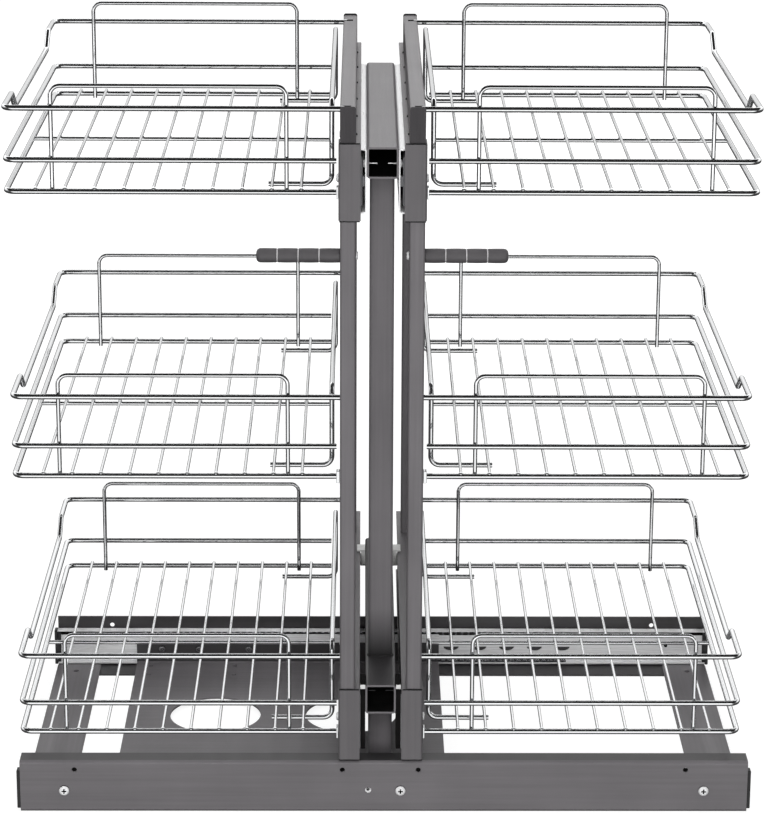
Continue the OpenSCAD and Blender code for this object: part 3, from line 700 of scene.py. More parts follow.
def channel_x(name, node, back_at_low_y, lip, top_lip=True):
    """A channel along X. Its back lies on the low Y side or on the high Y side of the node's box."""
    low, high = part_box(node)
    back, mouth = (low.y, high.y) if back_at_low_y else (high.y, low.y)
    corners = [(mouth, high.z), (back, high.z), (back, low.z), (mouth, low.z)]
    bends = [SLIDE_BEND, SLIDE_BEND]
    if lip:
        corners.append((mouth, low.z + lip))
        bends.append(LIP_BEND)
    if lip and top_lip:
        corners.insert(0, (mouth, high.z - lip))
        bends.insert(0, LIP_BEND)
    points = [Vector((low.x, y, z)) for y, z in corners]
    return folded(name, points, bends, (high.x - low.x, 0, 0), SLIDE_WALL)


front_slide = channel_x("front_slide_channel", "front_slide_rail", True, LIP)
PILOT_HOLE = 3.2 * MM
PILOT_RISE = 0.8 * MM
back_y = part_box("front_slide_rail")[0].y
drilled(front_slide, [(SPARE_HOLE_X, back_y, slide_z + PILOT_RISE)], "Y", PILOT_HOLE)
hand_over(eased(front_slide, ROLLED_EDGE, 2), "front_slide_rail", ZINC_X)
# The slide's top and the faces beside its back are near-black, as painted shade.
hidden_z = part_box("front_slide_rail")[1].z - 2 * SLIDE_WALL
refinish(front_slide, INSIDE, lambda c: all(p.z > hidden_z for p in c) or (
    all(p.y < back_y + SLIDE_BEND for p in c) and any(p.y > back_y + NEAR for p in c)))
rear_slide = channel_x("rear_slide_channel", "rear_slide_rail", False, LIP, False)

# %% [markdown]
# The rear slide has five half round stops lanced through its back. Each cutter is a flattened cylinder with
# its upper half cut away, so the opening has a straight top and a round belly. This slide has no lip at the
# top, so its balls show in front of the race, which is near-black as painted shade.

# %% Lanced stops
STOP_FIRST_X = 77 * MM
STOP_PITCH = 31 * MM
STOP_WIDTH = 17 * MM
STOP_DROP = 4.8 * MM
STOP_BELOW = 1.8 * MM
STOP_CUT = 6 * MM
STOPS = 5
slide_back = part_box("rear_slide_rail")[1]
stops = []
for i in range(STOPS):
    middle = Vector((STOP_FIRST_X + i * STOP_PITCH, slide_back.y, slide_z - STOP_BELOW))
    stop = rod("stop", middle, "Y", STOP_WIDTH, STOP_CUT)
    edit(stop)
    bpy.ops.mesh.select_all(action="SELECT")
    bpy.ops.mesh.bisect(plane_co=middle, plane_no=(0, 0, 1), use_fill=True, clear_outer=True)
    bpy.ops.mesh.select_all(action="SELECT")
    bpy.ops.transform.resize(value=(1, 1, 2 * STOP_DROP / STOP_WIDTH), center_override=middle)
    done()
    stops.append(stop)
cut(rear_slide, stops)

# %% [markdown]
# The upper part of the rear slide's back is the race, near-black as painted shade, and the top of the
# flange above it takes the pale matt zinc as a painted highlight. A slice at the lower edge of the race lets
# the finish change there. The runners are plain channels.

# %% Rear slide finishes and runners
RACE_DEEP = 6.5 * MM
flange_z = slide_back.z - 1.1 * SLIDE_WALL
race_z = flange_z - RACE_DEEP
sliced(rear_slide, race_z)
hand_over(eased(rear_slide, ROLLED_EDGE, 2), "rear_slide_rail", ZINC_X)
# Painted shade on the race and a painted highlight on the flange top.
refinish(rear_slide, INSIDE, lambda c: all(p.z > race_z - NEAR for p in c))
refinish(rear_slide, ZINC_PALE, lambda c: all(p.z > flange_z for p in c))
for node, back_at_low_y in (("front_slide_runner", False), ("rear_slide_runner", True)):
    runner = channel_x(node + "_channel", node, back_at_low_y, 0)
    hand_over(eased(runner, ROLLED_EDGE, 2), node, ZINC_X)

# %% [markdown]
# The ends of the slide rails are closed by moulded caps. A cap is a block with soft corners, a waist where
# it enters the channel and a notch for the runner to pass.

# %% End caps
CAP_SOFT = 1.0 * MM
CAP_INSIDE = 3 * MM
CAP_PLAY = 0.05 * MM
CAP_WEB = 5 * MM
NOTCH_HALF = 8 * MM
cap_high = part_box("slide_end_caps")[1]
caps = []
for node, mouth in (("front_slide_rail", 1), ("rear_slide_rail", -1)):
    low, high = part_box(node)
    cap = block("cap", (high.x, low.y, low.z), (cap_high.x, high.y, high.z))
    edit(cap)
    pick(cap, "FACE", lambda c: all(abs(p.x - high.x) < NEAR for p in c))
    bpy.ops.mesh.inset(thickness=SLIDE_WALL + CAP_PLAY)
    bpy.ops.mesh.extrude_region_move(TRANSFORM_OT_translate={"value": (-CAP_INSIDE, 0, 0)})
    done()
    open_y = high.y if mouth > 0 else low.y
    deep_y = (low.y + CAP_WEB) if mouth > 0 else (high.y - CAP_WEB)
    notch_y = sorted((open_y + mouth * MM, deep_y))
    notch = block(
        "notch", (high.x - CAP_INSIDE - MM, notch_y[0], slide_z - NOTCH_HALF),
        (cap_high.x + MM, notch_y[1], slide_z + NOTCH_HALF))
    cut(cap, [notch])
    eased(cap, CAP_SOFT)
    caps += [cap, copied(cap, "cap", Matrix.Scale(-1, 4, (1, 0, 0)))]
hand_over(joined(caps, "end_cap_mouldings"), "slide_end_caps", BLACK)

# %% [markdown]
# ## Screws
# All screws are pan heads with a cross recess. One head is modelled upright at the origin: a cylinder whose
# top edge is rounded far in, a cross cut by two crossed blades, and a shank with ring grooves for the
# thread. It is then copied to each seat. A seat is the point under the head and the direction that the
# screw points. A head has a width and a height. The blades of the cross have a width, a length and a depth,
# as shares of these. Crest and root of the thread have a place in the turn and a depth.

# %% Screw model
HEAD = (8.4 * MM, 2.2 * MM)
RAIL_HEAD = (10.4 * MM, 2.8 * MM)
DOME = 0.8
CROSS = (0.15, 0.56, 0.7)
CROSS_TAPER = 0.6
SHANK = 4 * MM
SHANK_IN = 0.1 * MM
THREAD = 0.8 * MM
THREAD_FORM = ((0.35, 0), (0.75, 0.35 * MM))
SLIM_POINT = 0.36
SHANK_END = 0.6 * MM


def pan_screw(reach, head_size=HEAD, point=0):
    """A screw with its seat at the origin, pointing down. The last stretch of the shank may be a point."""
    wide, high = head_size
    blade_wide, blade_long, recess = wide * CROSS[0], wide * CROSS[1], high * CROSS[2]
    head = rod("screw", (0, 0, high / 2), "Z", wide, high, 32)
    edit(head)
    pick(head, "EDGE", lambda c: all(p.z > high - NEAR for p in c))
    bpy.ops.mesh.bevel(offset=high * DOME, segments=5, affect="EDGES")
    done()
    for across, deep in ((blade_long, blade_wide), (blade_wide, blade_long)):
        blade = block("blade", (-across / 2, -deep / 2, high - recess), (across / 2, deep / 2, high + MM))
        edit(blade)
        pick(blade, "FACE", lambda c: all(p.z < high for p in c))
        bpy.ops.transform.resize(value=(CROSS_TAPER, CROSS_TAPER, 1), center_override=(0, 0, high - recess))
        done()
        cut(head, [blade])
    turns = int(reach / THREAD)
    outline = [Vector((0, 0, SHANK_IN)), Vector((SHANK / 2, 0, SHANK_IN))]
    for i in range(turns):
        for part, groove in THREAD_FORM:
            z = -(i + part) * THREAD
            slim = SLIM_POINT if point and z < point - reach else 1
            outline.append(Vector((slim * (SHANK / 2 - groove), 0, z)))
    outline.append(Vector((SHANK_END if point else SHANK / 2 - SHANK_END, 0, -reach)))
    outline.append(Vector((0, 0, -reach)))
    shank = spun("shank", outline, "Z", 20)
    return joined([head, shank], "screw")


def placed(model, point, direction):
    """A copy of a screw with its seat at the point, pointing along the direction."""
    turn = (-Vector(direction)).to_track_quat("Z", "Y").to_matrix().to_4x4()
    return copied(model, "screw", Matrix.Translation(point) @ turn)


def seats(node, model, places, finish):
    """Hands over copies of a screw at its seats."""
    copies = [placed(model, point, direction) for point, direction in places]
    bpy.data.objects.remove(model)
    return hand_over(joined(copies, node + "_plated"), node, finish)


# %% [markdown]
# The rail screws pass through a rail into its slide. The plate screws pass through the turned up edges of
# the carriage plate into the runners.

# %% Base and plate screws
RAIL_SCREW_X = (-316.5 * MM, 16 * MM, 316.5 * MM)
PLATE_SCREW_X = (28 * MM, 69 * MM, 124 * MM, 295 * MM)
base_screw = SHEET + SLIDE_WALL + 2 * MM
plate_low, plate_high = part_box("carriage_plate")
rail_seats = [((x, rail_low.y, slide_z), (0, 1, 0)) for x in RAIL_SCREW_X]
rail_seats += [((x, rear_high.y, slide_z), (0, -1, 0)) for x in RAIL_SCREW_X]
rail_screws = seats("rail_screws", pan_screw(base_screw, RAIL_HEAD), rail_seats, ZINC_SCREW)
plate_seats = [((plate_low.x + x, plate_low.y + SHEET, slide_z), (0, -1, 0)) for x in PLATE_SCREW_X]
plate_seats += [((plate_low.x + x, plate_high.y - SHEET, slide_z), (0, 1, 0)) for x in PLATE_SCREW_X]
seats("plate_screws", pan_screw(base_screw), plate_seats, SCREW_DARK)

# %% [markdown]
# The rims of the rail screws' heads and the bottoms of their crosses are near-black: painted shade.

# %% Dark rims and crosses
HEAD_RIM = RAIL_HEAD[0] * 0.46
CROSS_END = RAIL_HEAD[0] * 0.283
rails_y = (rail_low.y + rear_high.y) / 2
face_y = (rear_high.y - rail_low.y) / 2 + RAIL_HEAD[1] * 0.9


def off_axis(point):
    return min(math.hypot(point.x - x, point.z - slide_z) for x in RAIL_SCREW_X)


refinish(rail_screws, INSIDE, lambda c: all(off_axis(p) > HEAD_RIM for p in c))
refinish(rail_screws, INSIDE, lambda c: all(off_axis(p) < CROSS_END for p in c) and any(
    abs(p.y - rails_y) < face_y for p in c))
print("rail screws have", len(rail_screws.data.materials), "finishes")

# %% [markdown]
# ## Ball cages
# A cage is a thin strip with one window for each ball. One window is made from a plane by an inset, the
# middle is removed, the strip gets its thickness, and an Array repeats it. The balls are round enough for
# their size with a few dozen faces each.

# %% Ball cages
CAGE_SHEET = 0.8 * MM
WINDOW_EDGE = 1.1 * MM


def cage_strip(name, low, high, along, pitch, ball):
    """A strip with windows along X or Y, between the corners of a flat box, and its balls."""
    run = high[along] - low[along]
    count = int(run / pitch)
    cell = run / count
    size = high - low
    size[along] = cell
    middle = (low + high) / 2
    middle[along] = low[along] + cell / 2
    step = Vector((0, 0, 0))
    step[along] = cell
    strip = added(bpy.ops.mesh.primitive_plane_add, name, (size.x, size.y, 1), size=1, location=middle)
    edit(strip)
    bpy.ops.mesh.inset(thickness=WINDOW_EDGE)
    bpy.ops.mesh.delete(type="FACE")
    done()
    repeat = {"use_relative_offset": False, "use_constant_offset": True, "count": count}
    changed(strip, "ARRAY", constant_offset_displace=step, use_merge_vertices=True, **repeat)
    changed(strip, "SOLIDIFY", thickness=CAGE_SHEET, offset=0)
    balls = added(
        bpy.ops.mesh.primitive_ico_sphere_add, "balls", subdivisions=2, radius=ball / 2, location=middle)
    changed(balls, "ARRAY", constant_offset_displace=step, **repeat)
    return strip, balls


BASE_BALL = 4 * MM
BASE_BALL_UP = 16.4 * MM
CAGE_IN = 3.2 * MM
CAGE_OUT = 9.1 * MM
BASE_BALL_PITCH = 7 * MM
cages_low, cages_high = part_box("base_ball_cages")
strips, balls = [], []
for wall, way in ((rail_low.y + SHEET, 1), (rear_high.y - SHEET, -1)):
    for up in (-BASE_BALL_UP, BASE_BALL_UP):
        edges = sorted((wall + way * CAGE_IN, wall + way * CAGE_OUT))
        low = Vector((cages_low.x, edges[0], slide_z + up))
        high = Vector((cages_high.x, edges[1], slide_z + up))
        strip, ball = cage_strip("cage", low, high, 0, BASE_BALL_PITCH, BASE_BALL)
        strips.append(strip)
        balls.append(ball)
# The strips are near-black: painted shade.
hand_over(joined(strips, "base_cage_strips"), "base_ball_cages", CAGE_DARK)
hand_over(joined(balls, "base_cage_balls"), "base_ball_cages", BALL_STEEL, replaced=False)

# %% [markdown]
# ## The carriage
# The carriage plate is one sheet, folded up along its front and rear edges, with two large round openings
# and a few small spare holes. The top of its rear edge is left bare and plated.

# %% Carriage plate
ROUND = 96 * MM
ROUND_X = (94 * MM, 238 * MM)
ROUND_Y = 235.17 * MM
SPARE = 5 * MM
SPARE_X = (16 * MM, 109 * MM)
SPARE_IN = (10 * MM, 36 * MM)
start = plate_low.x
plate = folded(
    "carriage_sheet",
    [Vector((start, plate_low.y, plate_high.z)), Vector((start, plate_low.y, plate_low.z)),
     Vector((start, plate_high.y, plate_low.z)), Vector((start, plate_high.y, plate_high.z))],
    FOLD, (plate_high.x - start, 0, 0), SHEET)
drilled(plate, [(start + x, rail_low.y + ROUND_Y, plate_low.z) for x in ROUND_X], "Z", ROUND, sides=96)
spare_holes = [(start + x, plate_high.y - SHEET - y, plate_low.z) for x in SPARE_X for y in SPARE_IN]
drilled(plate, spare_holes, "Z", SPARE)
EDGE_COATED = 26 * MM
sliced(plate, plate_low.z + EDGE_COATED)
hand_over(eased(plate, CUT_EDGE), "carriage_plate", COAT_X)
edge_y = plate_high.y - SHEET - 0.1 * MM
coated_z = plate_low.z + EDGE_COATED - NEAR
# The rear edge below its plated top gets a darker coat: painted shade.
refinish(plate, COAT_HALF_SHADE, lambda c: all(p.y > edge_y and p.z > plate_low.z + FOLD for p in c))
refinish(plate, ZINC_X, lambda c: all(p.y > edge_y and p.z > coated_z for p in c))

# %% [markdown]
# ## The mast
# The mast is welded from square tube: a foot with a base flange, a bottom arm, a post and a top arm. The
# arms are open at the front, where the dark inside and the screw points show. A bead of weld runs round
# each joint. The bottom arm and the foot of the post are darkened, as painted shade.

# %% Mast tubes
TUBE_WALL = 2 * MM
TUBE_CORNER = 3 * MM
BEAD = 3.2 * MM
BEAD_WAVE = 0.25 * MM
POST_SHADE_SPAN = (-2 * MM, 50 * MM)
SLIDE_SCREW_Y = (16 * MM, 220 * MM, 420 * MM)
slide_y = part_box("right_top_slide_outer")[0].y


def weld_bead(name, low, high, z):
    """A painted weld round a tube, a little uneven as hand welds are."""
    x0, x1, y0, y1 = low.x, high.x, low.y, high.y
    seam = (x0, (y0 + y1) / 2, z)
    corners = [seam, (x0, y0, z), (x1, y0, z), (x1, y1, z), (x0, y1, z), seam]
    return uneven(wire(name, corners, TUBE_CORNER, BEAD, 3), 3, BEAD_WAVE, 4)


arm_boxes = {}
for node in ("mast_bottom_arm", "mast_top_arm"):
    low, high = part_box(node)
    arm_boxes[node] = (low, high)
    arm = tube(node + "_tube", low, high, 1, TUBE_WALL, TUBE_CORNER)
    hand_over(eased(arm, CUT_EDGE, 2), node, COAT_Y)
    # The bottom arm behind its front end gets the deep coat of painted shade. Both arms' insides are
    # near-black, as painted shade.
    if node == "mast_bottom_arm":
        refinish(arm, COAT_SHADE, lambda c: any(p.y > low.y + MM for p in c))
    skin = TUBE_WALL * 0.9
    refinish(arm, INSIDE, lambda c: all(
        low.x + skin < p.x < high.x - skin and low.z + skin < p.z < high.z - skin for p in c))
low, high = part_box("mast_post")
post = tube("mast_post_tube", low, high, 2, TUBE_WALL, TUBE_CORNER)
eased(post, CUT_EDGE, 2)
beads = [weld_bead("bead", low, high, low.z), weld_bead("bead", low, high, high.z)]
# The post's coat darkens towards its foot: painted shade.
POST_COAT = powder_coat("post_coat_painted_shade", COAT_TONE, "Z", [low.z + rise for rise in POST_SHADE_SPAN])
hand_over(joined([post] + beads, "mast_post_tube"), "mast_post", POST_COAT)

# %% [markdown]
# The foot is a short tube on a flange. The flange is a flat bar with rounded corners, welded to the plate.

# %% Mast foot
FLANGE = 3 * MM
FLANGE_CORNER = 6 * MM
SOFT_EDGE = 0.4 * MM
low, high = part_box("mast_foot")
flange = rounded(block("flange", low, (high.x, high.y, low.z + FLANGE)), 2, FLANGE_CORNER, 6)
eased(flange, SOFT_EDGE)
post_low, post_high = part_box("mast_post")
tube_low = Vector((post_low.x, post_low.y, low.z + FLANGE))
tube_high = Vector((post_high.x, post_high.y, high.z))
foot = tube("foot", tube_low, tube_high, 2, TUBE_WALL, TUBE_CORNER)
eased(foot, CUT_EDGE, 2)
beads = [weld_bead("bead", tube_low, tube_high, z) for z in (tube_low.z, tube_high.z)]
hand_over(joined([flange, foot] + beads, "mast_foot_weldment"), "mast_foot", COAT_Z)

# %% [markdown]
# ## Column slides
# Each column hangs on an upper and a lower telescopic slide with three members. They are rolled channels
# too, along Y. The right hand members are modelled, and the left hand ones are mirrored copies.

# %% Helpers: channels along Y and copies
to_left = shift(x=2 * column_x) @ Matrix.Scale(-1, 4, (1, 0, 0))
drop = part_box("right_low_housing")[0].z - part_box("right_top_housing")[0].z


def channel_y(name, low, high, back_at_low_x, wall, bend, lip=0):
    """A channel along Y between two corners. Its back lies on the low X side or on the high X side."""
    back, mouth = (low.x, high.x) if back_at_low_x else (high.x, low.x)
    corners = [(mouth, high.z), (back, high.z), (back, low.z), (mouth, low.z)]
    bends = [bend, bend]
    if lip:
        corners = [(mouth, high.z - lip)] + corners + [(mouth, low.z + lip)]
        bends = [LIP_BEND] + bends + [LIP_BEND]
    points = [Vector((x, low.y, z)) for x, z in corners]
    return folded(name, points, bends, (0, high.y - low.y, 0), wall)


def both_sides(model, node_end, name_end, finish, replaced=True):
    """Hands over a right piece and its mirrored left fellow, and gives both back."""
    twin = copied(model, "left_" + name_end, to_left)
    model.name = "right_" + name_end
    hand_over(model, "right_" + node_end, finish, replaced)
    hand_over(twin, "left_" + node_end, finish, replaced)
    return model, twin


def four_places(model, stem, ending, finish):
    """Hands over a right top piece, its copy at the low slide and their left fellows."""
    low_copy = copied(model, "low", shift(z=drop))
    both_sides(model, "top_" + stem, "top_" + stem + ending, finish)
    both_sides(low_copy, "low_" + stem, "low_" + stem + ending, finish)


def aside(point):
    """How far a point lies from the middle plane between the columns."""
    return abs(point.x - column_x)


# %% [markdown]
# The low slides stand off the bottom arm. Their outer members carry two thick feet that bridge the gap, and
# they are in the dull zinc of painted shade. The front foot is near-black as painted shade, with a crown that
# is pale only on its front face, the rest of it painted shade too. The rear foot has a pale lid that reaches
# over the housing and keeps it down. A foot is given by where it starts, its length and the height of its
# underside.

# %% Outer slide members
LOW_GAP = 6 * MM
FOOT_WIDE = 4.9 * MM
FOOT_BRIDGE = 6.75 * MM
FOOT_TOP = 39.5 * MM
BRIDGE_TOP = 29.5 * MM
LID_WIDE = 9 * MM
LID = 2.4 * MM
CROWN = 4.5 * MM
BRIDGE_IN = 0.2 * MM
FRONT_FOOT = (0, 30 * MM, -28 * MM)
REAR_FOOT = (400 * MM, 18 * MM, 20.5 * MM)
low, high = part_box("right_top_slide_outer")
slide_high = high.z - low.z
outer = channel_y("outer", low, high, True, SLIDE_WALL, SLIDE_BEND, LIP)
both_sides(eased(outer, ROLLED_EDGE, 2), "top_slide_outer", "top_slide_outer_channel", ZINC_PALE)

low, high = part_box("right_low_slide_outer")
low_line = low.z + slide_high / 2
web = Vector((low.x + LOW_GAP, low.y, low.z))
pieces = [channel_y("outer", web, Vector((high.x, high.y, low.z + slide_high)), True, SLIDE_WALL, SLIDE_BEND)]
eased(pieces[0], ROLLED_EDGE, 2)
for start, run, under in (FRONT_FOOT, REAR_FOOT):
    near = Vector((low.x, low.y + start, low_line + under))
    far_y = near.y + run
    neck = low_line + FOOT_TOP - (LID / 2 if start else CROWN)
    pieces.append(block("foot", near, (low.x + FOOT_WIDE, far_y, neck)))
    bridge_low = near + Vector((FOOT_WIDE / 2, BRIDGE_IN, BRIDGE_IN))
    bridge_high = (low.x + FOOT_BRIDGE, far_y - BRIDGE_IN, low_line + BRIDGE_TOP)
    pieces.append(block("bridge", bridge_low, bridge_high))
pieces.append(block(
    "lid", (low.x, near.y, low_line + FOOT_TOP - LID), (low.x + LID_WIDE, far_y, low_line + FOOT_TOP)))
for piece in pieces[1:]:
    eased(piece, SOFT_EDGE)
low_outers = both_sides(joined(pieces, "low_outer"), "low_slide_outer", "low_slide_outer_channel", ZINC_SHADE)
foot_end = low.y + FRONT_FOOT[1]
foot_x = aside(low) + FOOT_BRIDGE - 0.5 * MM
lid_x, lid_z = aside(low) + LID_WIDE + MM, low_line + 2 * LID
for piece in low_outers:
    refinish(piece, INSIDE, lambda c: all(p.y < foot_end + MM and aside(p) < foot_x for p in c))
    refinish(piece, NYLON, lambda c: all(p.y > near.y - MM and aside(p) < lid_x and p.z > lid_z for p in c))
crown_z = low_line + FOOT_TOP
crown = block("crown", (low.x, low.y, crown_z - CROWN), (low.x + FOOT_WIDE, foot_end, crown_z))
for piece in both_sides(eased(crown, SOFT_EDGE), "low_slide_outer", "low_foot_crown", NYLON, False):
    refinish(piece, INSIDE, lambda c: any(p.y > low.y + MM for p in c))

# %% [markdown]
# The middle and inner members are plain channels. At the front of the top slides, a tab on the middle
# member reaches in and stops the inner one.

# %% Middle and inner slide members
TAB_REACH = 2.2 * MM
TAB_HALF_TALL = 5 * MM
TAB_LONG = 6 * MM
TAB_EDGE = 0.5 * MM
# The middle members take the darker zinc, as painted shade.
for level in ("top", "low"):
    for member, back_at_low_x, finish in (("slide_middle", True, ZINC_DARK), ("slide_inner", False, ZINC_Y)):
        node = f"{level}_{member}"
        low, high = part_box("right_" + node)
        channel = eased(channel_y(member, low, high, back_at_low_x, SLIDE_WALL, SLIDE_BEND), ROLLED_EDGE, 2)
        if node == "top_slide_middle":
            line = (low.z + high.z) / 2
            tab_low = (low.x - TAB_REACH, low.y, line - TAB_HALF_TALL)
            tab = block("stop", tab_low, (low.x, low.y + TAB_LONG, line + TAB_HALF_TALL))
            channel = joined([channel, eased(tab, TAB_EDGE)], member)
        both_sides(channel, node, node + "_channel", finish)

# %% [markdown]
# The cages between the members show only at the ends of the slides, when a column is pulled out. The low
# slides lie further out than the top ones, so the low cages lie at the far side of the cages' common box.

# %% Column ball cages
COLUMN_BALL = 5.2 * MM
COLUMN_PITCH = 11 * MM
CAGE_WIDE = 6 * MM
CAGE_REACH = {"outer_cages": 26.8 * MM, "inner_cages": 19.9 * MM}
for kind, reach in CAGE_REACH.items():
    low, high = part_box("right_" + kind)
    strips, balls = [], []
    for level, near in (("top", low.x), ("low", high.x - CAGE_WIDE)):
        box_low, box_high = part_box(f"right_{level}_housing")
        for side in (-1, 1):
            z = (box_low.z + box_high.z) / 2 + side * reach
            start, end = Vector((near, low.y, z)), Vector((near + CAGE_WIDE, high.y, z))
            strip, ball = cage_strip("cage", start, end, 1, COLUMN_PITCH, COLUMN_BALL)
            strips.append(strip)
            balls.append(ball)
    both_sides(joined(strips, "strips"), kind, kind + "_strips", CAGE_STEEL)
    both_sides(joined(balls, "balls"), kind, kind + "_balls", BALL_STEEL, False)

# %% [markdown]
# ## Column frames
# A column frame is an upper and a lower housing, joined by two uprights and topped by a flat tube. A
# housing is a deep folded channel that covers its slide, and a bracket closes its front. The top tube is
# tacked to its housing by a row of short welds that show as dark dots along the inner edge.

# %% Housings and brackets
HOUSING_WALL = 2 * MM
HOUSING_BEND = 3 * MM
BRACKET_WALL = 1.5 * MM
BRACKET_BEND = 2.6 * MM
housing = channel_y("housing", *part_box("right_top_housing"), False, HOUSING_WALL, HOUSING_BEND)
four_places(eased(housing, CUT_EDGE), "housing", "_sheet", COAT_Y)

low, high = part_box("right_top_bracket")
bracket = folded(
    "bracket",
    [Vector((low.x, low.y, low.z)), Vector((high.x, low.y, low.z)), Vector((high.x, high.y, low.z))],
    BRACKET_BEND, (0, 0, high.z - low.z), BRACKET_WALL)
four_places(eased(bracket, CUT_EDGE), "bracket", "_sheet", COAT_BRACKET)

# %% [markdown]
# A dark line lies along the seams above and below each bracket. It wavers a little.

# %% Dark seam lines
SEAM_LINE = 1.8 * MM
SEAM_LINE_WAVE = 0.3 * MM
seam_line_y = low.y + SEAM_LINE / 2 + SEAM_LINE_WAVE
seams = []
for z in (low.z - SEAM_LINE_WAVE, high.z + SEAM_LINE_WAVE):
    seam = wire("seam", [(low.x + MM, seam_line_y, z), (high.x - MM, seam_line_y, z)], 0, SEAM_LINE, 2)
    seams.append(uneven(seam, 9, SEAM_LINE_WAVE, 7))
seam_pair = joined(seams, "right_top_bracket_seams")
for level, rise in (("top", 0), ("low", drop)):
    for side, move in (("right", shift(z=rise)), ("left", to_left @ shift(z=rise))):
        line = copied(seam_pair, f"{side}_{level}_bracket_seal", move)
        hand_over(line, f"{side}_{level}_bracket", BLACK, replaced=False)
bpy.data.objects.remove(seam_pair)

# %% [markdown]
# The uprights and the top tube are thin flat tubes. The top tube has a slot near each end where the rim
# wire of the top basket drops in, and black plugs in its ends.

# %% Top tubes
FRAME_WALL = 1.5 * MM
FRAME_CORNER = 2.5 * MM
RIM = 5.7 * MM
RIM_SINK = 2 * MM
SLOT_IN = 5 * MM
SLOT_WIDE = 8.4 * MM
SLOT_SHIFT = 2.2 * MM
SLOT_OVER = 0.3 * MM
basket_low, basket_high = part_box("right_top_basket")
FRAME_WIRE = 5.5 * MM
TAB_HALF = 4 * MM
wire_front = basket_low.y + TAB_HALF
wire_back = basket_high.y - FRAME_WIRE / 2

low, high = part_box("right_top_tube")
top_tube = tube("top_tube", low, high, 1, FRAME_WALL, FRAME_CORNER)
slots, mouths = [], []
for y, shifted in ((wire_front, SLOT_SHIFT), (wire_back, 0)):
    slot_low = (low.x + SLOT_IN, y - RIM / 2, high.z - RIM_SINK - RIM / 2)
    slots.append(block("slot", slot_low, (high.x + MM, y + RIM / 2, high.z + MM)))
    mouth_low = Vector((low.x + SLOT_IN - SLOT_OVER, y + shifted - SLOT_WIDE / 2, high.z - 2 * FRAME_WALL))
    mouth_high = Vector((high.x - FRAME_CORNER, y + shifted + SLOT_WIDE / 2, high.z + 2 * MM))
    mouths.append(block("mouth", mouth_low, mouth_high))
cut(top_tube, slots)
cut(top_tube, mouths)
eased(top_tube, CUT_EDGE, 2)
print("top tube:", len(top_tube.data.polygons), "faces with its slots")

# %% [markdown]
# A row of short tack welds holds the tube to its housing. They are stubs of thick wire along its lower
# edge, near-black. The inside of the tube and the walls of its slots are near-black as painted shade.

# %% Tack welds and bare insides
TACKS = 6
TACK = 5 * MM
TACK_WIRE = 2.4 * MM
tacks = []
for i in range(TACKS):
    y = low.y + (i + 0.5) * (high.y - low.y) / TACKS
    tacks.append(wire("tack", [(low.x, y - TACK / 2, low.z), (low.x, y + TACK / 2, low.z)], 0, TACK_WIRE, 3))
near_x, far_x = aside(low) + MM, aside(high) - MM
slot_x = aside(low) + SLOT_IN - 2 * CUT_EDGE
slot_y = SLOT_WIDE / 2 + SLOT_SHIFT + 2 * CUT_EDGE
for piece in both_sides(top_tube, "top_tube", "top_tube_flat", COAT_Y):
    refinish(piece, INSIDE, lambda c: all(
        low.z + MM < p.z < high.z - MM and near_x < aside(p) < far_x for p in c))
    refinish(piece, INSIDE, lambda c: any(p.z < high.z - 2 * NEAR for p in c) and any(
        all(abs(p.y - y) < slot_y and slot_x < aside(p) < far_x for p in c) for y in (wire_front, wire_back)))
both_sides(joined(tacks, "tacks"), "top_tube", "top_tube_tacks", INSIDE, False)

# %% [markdown]
# The uprights are the same flat tube, set on end. Each has two holes, for the rim wires of the middle and
# the low basket.

# %% Uprights
RIM_BELOW = 22.3 * MM
for node, hook_y in (("front_upright", wire_front), ("rear_upright", wire_back)):
    low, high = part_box("right_" + node)
    upright = tube(node, low, high, 2, FRAME_WALL, FRAME_CORNER)
    rims = [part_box(f"right_{tier}_basket")[1].z - RIM_BELOW for tier in ("low", "mid")]
    drilled(upright, [(high.x, hook_y, z) for z in rims], "X", RIM)
    both_sides(eased(upright, CUT_EDGE, 2), node, node + "_tube", COAT_Z)

# %% [markdown]
# A plug is a thin cover with soft edges and a stem that grips inside the tube. The cover stands a little
# proud of the tube's top, which shows as a dark line at the rear end.

# %% Tube plugs
PLUG = 1.5 * MM
PLUG_STEM = 5 * MM
PLUG_PLAY = 0.1 * MM
PROUD = 1.6 * MM
tube_low, tube_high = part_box("right_top_tube")
plugs = []
for y, way in ((tube_low.y, -1), (tube_high.y, 1)):
    edges = sorted((y, y + way * PLUG))
    cover = block("plug", (tube_low.x, edges[0], tube_low.z), (tube_high.x, edges[1], tube_high.z + PROUD))
    edit(rounded(cover, 1, FRAME_CORNER, 5))
    pick(cover, "FACE", lambda c: all(abs(p.y - y) < NEAR for p in c))
    bpy.ops.mesh.inset(thickness=FRAME_WALL + PROUD + PLUG_PLAY)
    bpy.ops.mesh.extrude_region_move(TRANSFORM_OT_translate={"value": (0, -way * PLUG_STEM, 0)})
    done()
    plugs.append(eased(cover, SOFT_EDGE))
# The rear plugs take the black moulding, as painted shade; the front ones keep the grey plug finish.
for piece in both_sides(joined(plugs, "plugs"), "tube_plugs", "tube_plugs_moulded", PLUG_FACE):
    refinish(piece, BLACK, lambda c: all(p.y > (tube_low.y + tube_high.y) / 2 for p in c))

# %% [markdown]
# ## Grips
# Each column has one grip on its front upright: a round moulding in four beads with a domed end. Its
# outline is drawn from the upright to the tip and spun round the grip's own axis.

